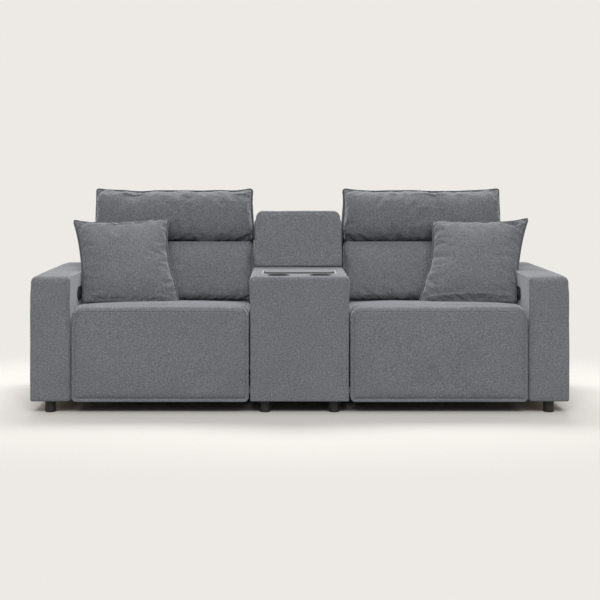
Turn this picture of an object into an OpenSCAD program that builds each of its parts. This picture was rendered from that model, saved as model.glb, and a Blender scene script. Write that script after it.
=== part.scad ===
// A power reclining sofa: two reclining seats with tilting headrests on either side of a fixed
// console, whose upholstered block drops forward over the storage tray. Millimetres, +Z up,
// +X to the viewer's right, the front at -Y, and the floor at Z = 0.

/* [Sofa] */
// Overall width over both arms
sofa_w = 2400; // [2240:10:2600]
// Overall depth
sofa_d = 1000; // [980:5:1040]
// Height of the underside above the floor
floor_gap = 54; // [46:1:70]
// Running gap between a seat and its neighbours
side_gap = 6; // [4:0.5:9]
// Gap that soft pieces keep from what they rest on
soft_gap = 0.3; // [0.2:0.05:0.5]

/* [Arm] */
// Width of an arm
arm_w = 178; // [160:2:200]
// Depth of an arm
arm_d = 950; // [930:5:970]
// Height of the top of an arm and of the console
arm_h = 612; // [596:2:640]
// Radius of the long outer top edge of an arm
arm_outer_r = 30; // [20:1:36]
// Radius of the long inner top edge of an arm
arm_inner_r = 9; // [5:1:14]
// Radius of the front top edge of an arm
arm_front_r = 24; // [14:1:30]
// Thickness of the padding on the sides of an arm
arm_pad = 14; // [12:1:20]
// Thickness of the padding on top of an arm
arm_top_pad = 32; // [26:1:40]

/* [Seat] */
// Height of the seat at its edges
seat_h = 466; // [456:1:476]
// Rise of the seat's crown above its edges
seat_crown = 12; // [6:1:18]
// Height of the deck that carries the seat cushion
deck_h = 343; // [336:1:350]
// Width of the elliptical outer top corner of the seat
seat_corner_w = 33; // [20:1:44]
// Height of the elliptical outer top corner of the seat
seat_corner_h = 71; // [50:1:84]
// Thickness of the front panel that swings up as the footrest
panel_t = 62; // [56:1:68]
// Gap between the front panel and the seat cushion
panel_gap = 4; // [3:0.5:6]
// Place of the seat cushion's rear end, measured back from the sofa's middle
seat_rear = 104; // [94:1:106]
// Forward travel of the seat as it reclines
seat_travel = 90; // [60:5:100]

/* [Back] */
// Lean of the back from upright, in degrees
back_lean = 12; // [10:0.5:13]
// Thickness of the lumbar cushion
lumbar_t = 214; // [206:1:218]
// Height of the lumbar cushion along the back
lumbar_h = 284; // [276:1:288]
// Thickness of the headrest cushion
headrest_t = 200; // [190:1:204]
// Height of the headrest cushion along the back
headrest_h = 272; // [256:1:276]
// Sag of the headrest's top edge between its two pointed corners
headrest_sag = 18; // [8:1:26]

/* [Console] */
// Width of the console
console_w = 440; // [430:2:470]
// Thickness of the console's padding
console_pad = 15; // [12:1:18]
// Thickness of the console's padded top
console_top_t = 30; // [26:1:36]
// Height of the drop-down block
block_h = 274; // [250:2:286]
// Width of the drop-down block
block_w = 422; // [400:2:424]
// Thickness of the drop-down block
block_t = 110; // [100:1:116]
// Lean of the drop-down block from upright, in degrees
block_lean = 6.5; // [4:0.5:8]
// Inner diameter of a cup holder
cup_d = 84; // [76:1:92]
// Depth of a cup holder
cup_depth = 75; // [60:1:90]
// Width of the storage tray's opening
tray_w = 328; // [280:2:340]
// Front-to-back size of the storage tray's opening
tray_l = 206; // [180:2:214]
// Depth of the storage tray
tray_depth = 62; // [50:1:80]

/* [Throw pillow] */
// Side of a square throw pillow
pillow_s = 450; // [430:2:460]
// Thickness of a throw pillow at its middle
pillow_t = 128; // [110:2:136]
// Share of the half side by which each side of a throw pillow is drawn in
pillow_pull_share = 0.07; // [0.03:0.01:0.1]

/* [Controls and feet] */
// Length of the control plate
plate_l = 120; // [112:1:130]
// Height of the control plate
plate_h = 60; // [54:1:66]
// Diameter of a round foot
foot_d = 48; // [40:1:56]

/* [Hidden] */
$fn = 48;

// Overrun of a cut past the face it opens
over = 1;
// Radial clearance of a pin in its bore
pin_fit = 0.05;
// Clearance round a piece that drops into a cut-out
drop_fit = 0.5;
// Clearance between plates that slide past each other
plate_fit = 0.5;
// Thickness of structural plywood, of side rails, of steel plate and of thin steel strip
ply = 15;
rail_t = 22;
steel = 4;
thin_steel = 3;

// Plan of the sofa
half_w = sofa_w / 2;
front_y = -sofa_d / 2;
rear_y = sofa_d / 2;
arm_x = half_w - arm_w;
arm_y = [front_y, front_y + arm_d];
console_x = console_w / 2;
seat_x = [console_x + side_gap, arm_x - side_gap];
seat_w = seat_x[1] - seat_x[0];
seat_mid = (seat_x[0] + seat_x[1]) / 2;

// Cross tubes and slide rails that carry a seat
tube_s = 30;
tube_wall = 2;
tube_lift = 8;
tube_z = floor_gap + tube_lift;
front_tube_in = 185;
rear_tube_in = 170;
front_tube_y = front_y + front_tube_in;
rear_tube_y = rear_y - rear_tube_in;
rail_z = tube_z + tube_s;
web_t = 4;
web_h = 30;
shoe_w = 20;
shoe_l = 50;
shoe_h = 34;
shoe_fit = 0.3;
shoe_inset = 13;
// Bare height of the frames where the cross tubes meet them
bare_margin = 20;
bare_h = rail_z + bare_margin;

// Footrest linkage: pivots on the seat plate, at the knee and on the footrest board
pivot_a_in = [124, -51];
pivot_b_in = [157, -248];
pivot_c_in = [78, -48];
pivot_a = [front_y, deck_h] + pivot_a_in;
pivot_b = [front_y, deck_h] + pivot_b_in;
pivot_c = [front_y, deck_h] + pivot_c_in;
link_w = 28;
bar_waist = 1;
pin_r = 5;
rail_inset = 14;
plate_x0 = rail_inset + rail_t;
rear_link_x0 = plate_x0 + steel + plate_fit;
front_link_x0 = rear_link_x0 + steel + plate_fit;
bracket_x0 = front_link_x0 + steel + plate_fit;

// Hinge of the back on the seat plates, and of the headrest on the back's side arms
recline_pivot = [140, 420];
headrest_pivot = [170, 748];
// Frame of the leaning back, and the padded shell over its rear, sides and top
post_t = 45;
post_w = 45;
back_h = 575;
back_panel_t = 9;
shell_t = 36;
shell_cap = 19;
shell_drop = 46;
shell_r = 14;
shell_corner_r = 22;
wing_z0 = 72;
back_foot_z = 380;
// Foot of the leaning back, placed so that the shell's top reaches the sofa's rear
shell_top = back_h + shell_cap;
back_foot = [
    rear_y - sin(back_lean) * (shell_top - shell_r) - cos(back_lean) * (post_t + shell_t - shell_r) - shell_r,
    back_foot_z];

// Hinge of the drop-down block
block_foot_in = 570;
block_foot = front_y + block_foot_in;
block_edge_r = 12;
block_lift = 1;
hinge_y = block_foot + block_edge_r;
hinge_z = arm_h + block_lift + block_edge_r;
hinge_pin_r = 4;
ear_t = 5;
ear_w = 20;
ear_foot_t = 4;
ear_x = 150;

// Sides of a soft form's rim and its rings from the rim inward, as shares
form_sides = 32;
ring_share = [1, 0.965, 0.89, 0.75, 0.5, 0.25];
corner_power = 14;

// Helpers

// The left seat and arm mirror the right ones
module left_side() {
    mirror([1, 0, 0]) children();
}

// A box between two bounds on each axis
module slab(x, y, z) {
    translate([x[0], y[0], z[0]]) cube([x[1] - x[0], y[1] - y[0], z[1] - z[0]]);
}

// A plate whose outline lies in Y and Z and whose thickness runs along X
module plate_yz(x) {
    translate([x[0], 0, 0]) rotate([90, 0, 90]) linear_extrude(height = x[1] - x[0]) children();
}

// A prism whose outline lies in X and Z and whose length runs along Y
module prism_xz(y) {
    translate([0, y[1], 0]) rotate([90, 0, 0]) linear_extrude(height = y[1] - y[0]) children();
}

// A round bar along X at a point in Y and Z
module bar_x(x, at, r) {
    translate([x[0], at[0], at[1]]) rotate([0, 90, 0]) cylinder(h = x[1] - x[0], r = r);
}

// The outline of a flat bar between two points: its shank is a little narrower than its round ends
module bar_outline(a, b, w) {
    length = norm(b - a);
    translate(a) rotate(atan2(b[1] - a[1], b[0] - a[0]))
        translate([0, bar_waist - w / 2]) square([length, w - 2 * bar_waist]);
    translate(a) circle(d = w);
    translate(b) circle(d = w);
}

// A rectangle with rounded corners, given as bounds
module round_rect(x, y, r) {
    translate([x[0] + r, y[0]]) square([x[1] - x[0] - 2 * r, y[1] - y[0]]);
    translate([x[0], y[0] + r]) square([x[1] - x[0], y[1] - y[0] - 2 * r]);
    for (cx = [x[0] + r, x[1] - r], cy = [y[0] + r, y[1] - r]) translate([cx, cy]) circle(r = r);
}

// Both ends of a seat along X: children are drawn for the console side and turned for the arm side
module both_ends() {
    translate([seat_x[0], 0, 0]) children();
    translate([seat_x[1], 0, 0]) mirror([1, 0, 0]) children();
}

// The leaning frame of a back: Z along the back, Y out of its rear
module on_back() {
    translate([0, back_foot[0], back_foot[1]]) rotate([-back_lean, 0, 0]) children();
}

// A point of the leaning frame, from a point in Y and Z
function back_local(at) =
    let (d = at - back_foot)
    [d[0] * cos(back_lean) - d[1] * sin(back_lean), d[0] * sin(back_lean) + d[1] * cos(back_lean)];

// Soft forms

// A point on the unit rim: sides drawn in by pull shares, corners rounded by a share
function rim_point(side, t, pull, round_share) =
    let (
        corner = round_share * pow(abs(t), corner_power),
        out = 1 - pull[side] * (1 - t * t) - corner,
        along = t * (1 - round_share * pow(abs(t), corner_power)))
    side == 0 ? [out, along] : side == 1 ? [-along, out] :
    side == 2 ? [-out, -along] : [along, -out];

// Height of a crowned face, 0 on the rim and 1 at the middle
function crown(s, t, q) = pow(max(0, (1 - s * s) * (1 - s * s * t * t)), q);

// One ring of a stuffed form: half sizes, edge height and crown height along the form's depth
function form_ring(s, half, edge, rise, q, pull, round_share) = [
    for (i = [0 : form_sides - 1])
        let (
            side = floor(4 * i / form_sides),
            t = 8 * i / form_sides - 2 * side - 1,
            p = rim_point(side, t, pull, round_share))
        [s * p[0] * half[0], edge + rise * crown(s, t, q), s * p[1] * half[1]]];

// Triangles between rings of equal count, closed by a point at each end
function ring_faces(rings, n) = concat(
    [for (i = [0 : n - 1]) [0, 1 + (i + 1) % n, 1 + i]],
    [for (k = [0 : rings - 2], i = [0 : n - 1])
        let (a = 1 + k * n + i, b = 1 + k * n + (i + 1) % n) [a, b, b + n]],
    [for (k = [0 : rings - 2], i = [0 : n - 1])
        let (a = 1 + k * n + i, b = 1 + k * n + (i + 1) % n) [a, b + n, a + n]],
    [for (i = [0 : n - 1]) [1 + rings * n, 1 + (rings - 1) * n + i, 1 + (rings - 1) * n + (i + 1) % n]]);

// A stuffed form centred on its origin: width along X, height along Z, depth along Y. Its edge
// is edge_t deep, its front crown reaches -Y and its back crown +Y
module stuffed(w, h, edge_t, front_rise, back_rise, q, pull, round_share) {
    half = [w / 2, h / 2];
    count = len(ring_share);
    front = [for (s = ring_share)
        form_ring(s, half, -edge_t / 2, -front_rise, q, pull, round_share)];
    back = [for (s = ring_share)
        form_ring(s, half, edge_t / 2, back_rise, q, pull, round_share)];
    points = concat(
        [[0, -edge_t / 2 - front_rise, 0]],
        [for (k = [count - 1 : -1 : 0]) each front[k]],
        [for (k = [0 : count - 1]) each back[k]],
        [[0, edge_t / 2 + back_rise, 0]]);
    polyhedron(points, [for (f = ring_faces(2 * count, form_sides)) [f[2], f[1], f[0]]]);
}

// Outline of the seat in X and Z: flat below, an elliptical outer top corner and a crowned top
corner_steps = 5;
crown_steps = 6;
inner_corner_r = 12;
function seat_outline(x, bottom, bottom_r, top, rise) =
    let (
        inner = x[0] + inner_corner_r,
        outer = x[1] - seat_corner_w,
        span = outer - inner)
    concat(
        [[x[0], bottom + bottom_r], [x[0] + bottom_r, bottom]],
        [[x[1] - bottom_r, bottom], [x[1], bottom + bottom_r]],
        [for (k = [0 : corner_steps]) let (a = 90 * k / corner_steps)
            [outer + seat_corner_w * cos(a), top - seat_corner_h * (1 - sin(a))]],
        [for (k = [1 : crown_steps - 1]) let (u = k / crown_steps)
            [outer - span * u, top + rise * 4 * u * (1 - u)]],
        [for (k = [0 : 2]) let (a = 90 + 45 * k)
            [inner + inner_corner_r * cos(a), top - inner_corner_r * (1 - sin(a))]]);

// A soft prism through rings of one outline: each row is [share of the outline, place along Y]
module soft_prism(outline, centre, rows) {
    n = len(outline);
    points = concat(
        [[centre[0], rows[0][1], centre[1]]],
        [for (r = rows, p = outline)
            [centre[0] + r[0][0] * (p[0] - centre[0]), r[1], centre[1] + r[0][1] * (p[1] - centre[1])]],
        [[centre[0], rows[len(rows) - 1][1], centre[1]]]);
    polyhedron(points, ring_faces(len(rows), n));
}

// Arms

arm_frame_x = [arm_x + arm_pad, half_w - arm_pad];
arm_frame_y = [arm_y[0] + arm_pad, arm_y[1] - arm_pad];
arm_frame_z = [floor_gap, arm_h - arm_top_pad];
stud_r = 4;
stud_l = 34;
foot_block = 44;
foot_inset = 67;
arm_foot_in = 81;
arm_foot_x = half_w - arm_foot_in;
foot_y = [front_y + foot_inset, arm_y[1] - foot_inset];

module arm_profile() {
    intersection() {
        translate([arm_x, floor_gap]) square([arm_w, arm_h - floor_gap]);
        union() {
            translate([arm_x, floor_gap]) square([arm_w, arm_h - floor_gap - arm_outer_r]);
            translate([arm_x + arm_inner_r, floor_gap])
                square([arm_w - arm_outer_r - arm_inner_r, arm_h - floor_gap]);
            translate([arm_x, floor_gap])
                square([arm_w / 2, arm_h - floor_gap - arm_inner_r]);
            translate([half_w - arm_outer_r, arm_h - arm_outer_r]) circle(r = arm_outer_r);
            translate([arm_x + arm_inner_r, arm_h - arm_inner_r]) circle(r = arm_inner_r);
        }
    }
}

module arm_cover() {
    color("slategray") difference() {
        intersection() {
            prism_xz(arm_y) arm_profile();
            plate_yz([arm_x, half_w]) {
                translate([arm_y[0], floor_gap])
                    square([arm_d, arm_h - floor_gap - arm_front_r]);
                translate([arm_y[0] + arm_front_r, floor_gap])
                    square([arm_d - 2 * arm_front_r, arm_h - floor_gap]);
                for (cy = [arm_y[0] + arm_front_r, arm_y[1] - arm_front_r])
                    translate([cy, arm_h - arm_front_r]) circle(r = arm_front_r);
            }
        }
        slab(arm_frame_x, arm_frame_y, [arm_frame_z[0] - over, arm_frame_z[1]]);
        slab([arm_x - over, arm_frame_x[0] + over], arm_frame_y, [floor_gap - over, bare_h]);
        control_pocket();
    }
}

module arm_frame() {
    color("burlywood") difference() {
        union() {
            for (x = [arm_frame_x[0], arm_frame_x[1] - ply])
                slab([x, x + ply], arm_frame_y, arm_frame_z);
            for (y = [arm_frame_y[0], arm_frame_y[1] - ply])
                slab([arm_frame_x[0] + ply, arm_frame_x[1] - ply], [y, y + ply], arm_frame_z);
            for (z = [arm_frame_z[0], arm_frame_z[1] - ply])
                slab([arm_frame_x[0] + ply, arm_frame_x[1] - ply],
                    [arm_frame_y[0] + ply, arm_frame_y[1] - ply], [z, z + ply]);
            for (y = foot_y)
                slab([arm_frame_x[0] + ply, arm_frame_x[1] - ply],
                    [y - foot_block / 2, y + foot_block / 2], [floor_gap, floor_gap + foot_block]);
        }
        for (y = foot_y) translate([arm_foot_x, y, floor_gap - over])
            cylinder(h = stud_l + over + drop_fit, r = stud_r + pin_fit);
        control_pocket();
    }
}

// Controls

plate_in = [281, -97];
plate_at = [front_y, arm_h] + plate_in;
plate_t = 4;
housing_l = 96;
housing_h = 40;
housing_d = 22;
housing_wall = 2.5;
button_l = 34;
button_h = 24;
button_t = 9;
button_proud = 2.5;
button_pitch = 42;
button_pin_r = 1.5;
button_gap = 1;
button_floor = 4;
button_axis_in = 3;
button_axis_x = arm_x + button_axis_in;
pill_r_share = 0.97;

module control_pocket() {
    slab([arm_x - over, arm_x + housing_d + drop_fit],
        [plate_at[0] - housing_l / 2 - drop_fit, plate_at[0] + housing_l / 2 + drop_fit],
        [plate_at[1] - housing_h / 2 - drop_fit, plate_at[1] + housing_h / 2 + drop_fit]);
}

module control_plate() {
    color("black") difference() {
        union() {
            plate_yz([arm_x - plate_t, arm_x])
                round_rect([plate_at[0] - plate_l / 2, plate_at[0] + plate_l / 2],
                    [plate_at[1] - plate_h / 2, plate_at[1] + plate_h / 2], pill_r_share * plate_h / 2);
            slab([arm_x - plate_t / 2, arm_x + housing_d],
                [plate_at[0] - housing_l / 2, plate_at[0] + housing_l / 2],
                [plate_at[1] - housing_h / 2, plate_at[1] + housing_h / 2]);
        }
        for (side = [-1, 1]) {
            y = plate_at[0] + side * button_pitch / 2;
            slab([arm_x - plate_t - over, arm_x + button_t + button_floor],
                [y - button_l / 2 - button_gap, y + button_l / 2 + button_gap],
                [plate_at[1] - button_h / 2 - button_gap, plate_at[1] + button_h / 2 + button_gap]);
            translate([button_axis_x, y, plate_at[1] - housing_h / 2 - over])
                cylinder(h = housing_h + 2 * over, r = button_pin_r + pin_fit);
        }
    }
}

// A rocker on a vertical pin: side -1 is the front one, which reclines the seat
module button(side) {
    y = plate_at[0] + side * button_pitch / 2;
    color("dimgray") {
        slab([arm_x - plate_t - button_proud, arm_x - plate_t - button_proud + button_t],
            [y - button_l / 2, y + button_l / 2],
            [plate_at[1] - button_h / 2, plate_at[1] + button_h / 2]);
        translate([button_axis_x, y, plate_at[1] - housing_h / 2])
            cylinder(h = housing_h, r = button_pin_r);
    }
}

// Console

console_frame_x = console_x - console_pad;
console_rear_in = 70;
console_y = [front_y, rear_y - console_rear_in];
console_frame_y = [console_y[0] + console_pad, console_y[1]];
deck_z = arm_h - console_top_t;
deck_l = 680;
deck_rear = front_y + deck_l;
cup_flange = 6;
cup_flange_t = 2;
cup_wall = 2;
cup_x = 95;
cup_in = 78;
cup_y = front_y + cup_in;
tray_wall = 2.5;
tray_r = 24;
tray_flange = 7;
tray_in = 158;
tray_lip_t = 0.6;
tray_y = [front_y + tray_in, front_y + tray_in + tray_l];
shoulder = 3;
deck_edge_r = 14;

module console_cover() {
    color("slategray") difference() {
        slab([-console_x, console_x], console_y, [floor_gap, deck_z]);
        slab([-console_frame_x, console_frame_x], [console_frame_y[0], console_y[1] + over],
            [floor_gap - over, deck_z + over]);
        for (side = [-1, 1]) slab([side * console_x - console_pad - over, side * console_x + console_pad + over],
            [console_frame_y[0], console_y[1] + over], [floor_gap - over, bare_h]);
    }
}

console_foot_x = 155;
console_foot_y = [front_y + foot_inset, console_y[1] - foot_inset];
upright_w = 150;
upright_in = 200;
upright_h = 180;
upright_y = rear_y - upright_in;
upright_top = arm_h + upright_h;

module console_frame() {
    color("burlywood") difference() {
        union() {
            for (side = [0, 1]) mirror([side, 0, 0])
                slab([console_frame_x - ply, console_frame_x], console_frame_y, [floor_gap, deck_z]);
            for (y = [console_frame_y[0], console_frame_y[1] - ply])
                slab([ply - console_frame_x, console_frame_x - ply], [y, y + ply], [floor_gap, deck_z]);
            slab([ply - console_frame_x, console_frame_x - ply],
                [console_frame_y[0] + ply, console_frame_y[1] - ply], [floor_gap, floor_gap + ply]);
            for (y = console_foot_y) slab([ply - console_frame_x, console_frame_x - ply],
                [y - foot_block / 2, y + foot_block / 2], [floor_gap + ply, floor_gap + foot_block]);
            slab([ply - console_frame_x, console_frame_x - ply],
                [deck_rear - 2 * ply, deck_rear], [deck_z - 2 * ply, deck_z]);
            for (side = [0, 1]) mirror([side, 0, 0])
                slab([upright_w - rail_t, upright_w], [upright_y, upright_y + rail_t],
                    [floor_gap + ply, upright_top]);
        }
        for (x = [-console_foot_x, console_foot_x], y = console_foot_y) translate([x, y, floor_gap - over])
            cylinder(h = stud_l + over + drop_fit, r = stud_r + pin_fit);
        inlet_pocket();
    }
}

module console_deck() {
    color("slategray") difference() {
        prism_xz([front_y, deck_rear]) {
            round_rect([-console_x - shoulder, console_x + shoulder], [deck_z, arm_h], deck_edge_r);
            translate([-console_x, deck_z]) square([console_w, console_top_t / 2]);
        }
        for (side = [-1, 1]) translate([side * cup_x, cup_y, deck_z - over])
            cylinder(h = console_top_t + 2 * over, r = cup_d / 2 + cup_wall + drop_fit);
        translate([0, 0, deck_z - over]) linear_extrude(height = console_top_t + 2 * over)
            round_rect([-tray_w / 2 - tray_wall - drop_fit, tray_w / 2 + tray_wall + drop_fit],
                [tray_y[0] - tray_wall - drop_fit, tray_y[1] + tray_wall + drop_fit], tray_r);
        for (side = [-1, 1]) slab([side * ear_x - ear_t / 2 - drop_fit, side * ear_x + ear_t / 2 + drop_fit],
            [hinge_y - ear_w / 2 - drop_fit, hinge_y + ear_w / 2 + drop_fit], [deck_z - over, arm_h + over]);
    }
}

module cup_holder() {
    translate([cup_x, cup_y, 0]) color("black") difference() {
        union() {
            translate([0, 0, arm_h - cup_depth])
                cylinder(h = cup_depth + cup_flange_t, r = cup_d / 2 + cup_wall);
            translate([0, 0, arm_h]) cylinder(h = cup_flange_t, r = cup_d / 2 + cup_wall + cup_flange);
        }
        translate([0, 0, arm_h - cup_depth + cup_wall])
            cylinder(h = cup_depth + cup_flange_t + over, r = cup_d / 2);
    }
}

module storage_tray() {
    color("black") difference() {
        union() {
            translate([0, 0, arm_h - tray_depth]) linear_extrude(height = tray_depth)
                round_rect([-tray_w / 2 - tray_wall, tray_w / 2 + tray_wall],
                    [tray_y[0] - tray_wall, tray_y[1] + tray_wall], tray_r);
            translate([0, 0, arm_h]) linear_extrude(height = tray_lip_t)
                round_rect([-tray_w / 2 - tray_flange, tray_w / 2 + tray_flange],
                    [tray_y[0] - tray_flange, tray_y[1] + tray_flange], tray_r);
        }
        translate([0, 0, arm_h - tray_depth + tray_wall]) linear_extrude(height = tray_depth + over)
            round_rect([-tray_w / 2, tray_w / 2], tray_y, tray_r - tray_wall);
    }
}

back_cover_gap = 8;
back_cover_x = console_x - back_cover_gap;
back_cover_h = 232;
back_cover_top = arm_h + back_cover_h;
back_cover_lean = 30;
back_cover_edge_r = 34;

// Side outline of the console's fixed back: its front leans behind the block
module back_cover_profile() {
    foot = deck_rear + back_cover_gap;
    tip = foot + back_cover_lean;
    polygon([
        [foot, deck_z], [console_y[1], deck_z],
        [console_y[1] + back_cover_lean, back_cover_top - back_cover_edge_r],
        [console_y[1] + back_cover_lean - back_cover_edge_r / 3, back_cover_top - back_cover_edge_r / 3],
        [console_y[1] + back_cover_lean - back_cover_edge_r, back_cover_top],
        [tip + back_cover_edge_r, back_cover_top],
        [tip + back_cover_edge_r / 3, back_cover_top - back_cover_edge_r / 3],
        [tip, back_cover_top - back_cover_edge_r]]);
}

module console_back_cover() {
    color("slategray") difference() {
        plate_yz([-back_cover_x, back_cover_x]) back_cover_profile();
        for (side = [0, 1]) mirror([side, 0, 0])
            slab([upright_w - rail_t, upright_w], [upright_y, upright_y + rail_t],
                [deck_z - over, upright_top]);
    }
}

module console_hinges() {
    color("silver") for (side = [-1, 1]) difference() {
        union() {
            plate_yz([side * ear_x - ear_t / 2, side * ear_x + ear_t / 2]) {
                translate([hinge_y - ear_w / 2, deck_z - ear_foot_t]) square([ear_w, hinge_z - deck_z + ear_foot_t]);
                translate([hinge_y, hinge_z]) circle(d = ear_w);
            }
            slab([side * ear_x - ear_w, side * ear_x + ear_w], [hinge_y - ear_w, hinge_y + ear_w],
                [deck_z - ear_foot_t, deck_z]);
        }
        bar_x([side * ear_x - ear_w, side * ear_x + ear_w], [hinge_y, hinge_z], hinge_pin_r + pin_fit);
    }
    color("silver") slab([-console_frame_x + ply, console_frame_x - ply],
        [hinge_y - ear_w, hinge_y + ear_w], [deck_z - ear_foot_t - tube_wall, deck_z - ear_foot_t]);
}

// Drop-down block, drawn upright and leaned about its hinge

block_x = block_w / 2;
block_board_t = 12;
block_pad_t = 45;
block_board_in = 4;
ear_slot = ear_t / 2 + plate_fit + thin_steel + 2 * drop_fit;
block_board_y0 = hinge_y + ear_w / 2 + block_board_in;
block_board_y = [block_board_y0, block_board_y0 + block_board_t];

module on_block() {
    translate([0, hinge_y, hinge_z]) rotate([-block_lean, 0, 0]) translate([0, -hinge_y, -hinge_z])
        children();
}

block_y = [block_foot, block_foot + block_t];
block_z = [hinge_z - block_edge_r, hinge_z - block_edge_r + block_h];
block_top_r = 32;

module block_profile() {
    translate([block_y[0] + block_edge_r, block_z[0]])
        square([block_t - 2 * block_edge_r, block_h - block_top_r]);
    translate([block_y[0], block_z[0] + block_edge_r])
        square([block_t, block_h - block_edge_r - block_top_r]);
    translate([block_y[0] + block_top_r, block_z[0] + block_edge_r])
        square([block_t - 2 * block_top_r, block_h - block_edge_r]);
    for (y = [block_y[0] + block_edge_r, block_y[1] - block_edge_r])
        translate([y, block_z[0] + block_edge_r]) circle(r = block_edge_r);
    for (y = [block_y[0] + block_top_r, block_y[1] - block_top_r])
        translate([y, block_z[1] - block_top_r]) circle(r = block_top_r);
}

// Keeps a piece of the block above the deck while the block leans back
module above_deck() {
    difference() {
        children();
        slab([-console_x, console_x], [front_y, rear_y], [deck_z, arm_h + block_lift]);
    }
}

module block_cover() {
    color("slategray") above_deck() on_block() difference() {
        intersection() {
            plate_yz([-block_x, block_x]) block_profile();
            prism_xz(block_y) {
                translate([-block_x, block_z[0]]) square([block_w, block_h - block_top_r]);
                translate([block_top_r - block_x, block_z[0]]) square([block_w - 2 * block_top_r, block_h]);
                for (x = [block_top_r - block_x, block_x - block_top_r])
                    translate([x, block_z[1] - block_top_r]) circle(r = block_top_r);
            }
        }
        slab([-block_x + block_pad_t / 2, block_x - block_pad_t / 2], block_board_y,
            [block_z[0] - over, block_z[1] - block_pad_t]);
        for (side = [-1, 1]) slab([side * ear_x - ear_slot, side * ear_x + ear_slot],
            [block_y[0] - over, block_board_y[0] + over],
            [block_z[0] - over, hinge_z + ear_w]);
    }
}

module block_board() {
    color("burlywood") above_deck() on_block() slab([-block_x + block_pad_t / 2, block_x - block_pad_t / 2],
        block_board_y, [block_z[0], block_z[1] - block_pad_t]);
    color("silver") on_block() for (side = [-1, 1]) {
        for (cheek = [-1, 1]) {
            x = side * ear_x + cheek * (ear_t / 2 + plate_fit);
            plate_yz([min(x, x + cheek * thin_steel), max(x, x + cheek * thin_steel)]) {
                translate([hinge_y, hinge_z - hinge_pin_r * 2])
                    square([block_board_y[0] - hinge_y, hinge_pin_r * 4]);
                translate([hinge_y, hinge_z]) circle(r = hinge_pin_r * 2);
            }
        }
        bar_x([side * ear_x - ear_t / 2 - plate_fit - thin_steel,
            side * ear_x + ear_t / 2 + plate_fit + thin_steel], [hinge_y, hinge_z], hinge_pin_r);
    }
}

// Feet, base rails, rear panel and dust cover

foot_chamfer = 2;

module foot(at) {
    translate([at[0], at[1], 0]) {
        cylinder(h = foot_chamfer, r1 = foot_d / 2 - foot_chamfer, r2 = foot_d / 2);
        translate([0, 0, foot_chamfer]) cylinder(h = floor_gap - foot_chamfer, d = foot_d);
        translate([0, 0, floor_gap]) cylinder(h = stud_l, r = stud_r);
    }
}

module feet() {
    color("black") for (side = [-1, 1]) {
        for (y = foot_y) foot([side * arm_foot_x, y]);
        for (y = console_foot_y) foot([side * console_foot_x, y]);
    }
}

module base_rails() {
    color("dimgray") {
        for (y = [front_tube_y, rear_tube_y]) difference() {
            slab([console_frame_x, arm_frame_x[0]], [y, y + tube_s], [tube_z, rail_z]);
            slab([console_frame_x - over, arm_frame_x[0] + over],
                [y + tube_wall, y + tube_s - tube_wall], [tube_z + tube_wall, rail_z - tube_wall]);
        }
        both_ends() {
            slab([shoe_inset, shoe_inset + shoe_w], rail_y, [rail_z, rail_z + web_t]);
            slab([shoe_inset + shoe_w / 2 - web_t / 2, shoe_inset + shoe_w / 2 + web_t / 2], rail_y,
                [rail_z + web_t, rail_z + web_t + web_h]);
        }
    }
}

shoe_in = [250, 540];
shoe_y = [front_y + shoe_in[0], front_y + shoe_in[1]];
rail_y = [shoe_y[0] - seat_travel - 2 * web_t, rear_tube_y + tube_s];
rear_panel_t = 20;
rear_panel_h = 300;

module rear_panel() {
    color("slategray")
        slab([-arm_x, arm_x], [console_y[1], console_y[1] + rear_panel_t],
            [floor_gap + rear_panel_t / 2, floor_gap + rear_panel_h]);
}

dust_t = 1.5;

module dust_cover() {
    color("black") for (side = [0, 1]) mirror([side, 0, 0])
        slab([console_frame_x, arm_frame_x[0]],
            [front_tube_y, console_y[1]], [tube_z - dust_t, tube_z]);
}

// Power supply on the console's floor, and its inlet in the console's rear

supply = [180, 90, 60];
supply_in = 560;
supply_y = front_y + supply_in;

module power_supply() {
    color("black") slab([-supply[0] / 2, supply[0] / 2], [supply_y, supply_y + supply[1]],
        [floor_gap + ply, floor_gap + ply + supply[2]]);
}

inlet = [36, 26, 28];
inlet_lift = 60;
inlet_z = floor_gap + rear_panel_h + inlet_lift;
inlet_wall = 3;
inlet_lip = 4;
inlet_pin_l = 8;

module inlet_pocket() {
    slab([-inlet[0] / 2 - drop_fit, inlet[0] / 2 + drop_fit],
        [console_y[1] - inlet[1] - drop_fit - ply, console_y[1] + over],
        [inlet_z - inlet[2] / 2 - drop_fit, inlet_z + inlet[2] / 2 + drop_fit]);
}

module power_inlet() {
    color("black") {
        difference() {
            union() {
                slab([-inlet[0] / 2, inlet[0] / 2], [console_y[1] - inlet[1], console_y[1] + inlet_wall],
                    [inlet_z - inlet[2] / 2, inlet_z + inlet[2] / 2]);
                slab([-inlet[0] / 2 - inlet_lip, inlet[0] / 2 + inlet_lip],
                    [console_y[1], console_y[1] + inlet_wall],
                    [inlet_z - inlet[2] / 2 - inlet_lip, inlet_z + inlet[2] / 2 + inlet_lip]);
            }
            slab([-inlet[0] / 2 + inlet_wall, inlet[0] / 2 - inlet_wall],
                [console_y[1] - inlet[1] + inlet_wall, console_y[1] + inlet_wall + over],
                [inlet_z - inlet[2] / 2 + inlet_wall, inlet_z + inlet[2] / 2 - inlet_wall]);
        }
        for (x = [-inlet[0] / 5, inlet[0] / 5])
            translate([x, console_y[1] - inlet[1] + inlet_wall + inlet_pin_l, inlet_z])
                rotate([90, 0, 0]) cylinder(h = inlet_pin_l, r = inlet_wall / 2);
    }
}

// Seat carriage

frame_in = 80;
seat_rail_h = 108;
frame_y = [front_y + frame_in, seat_rear];
frame_z = [deck_h - seat_rail_h, deck_h];
frame_rail_h = 30;
deck_t = 12;

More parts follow.
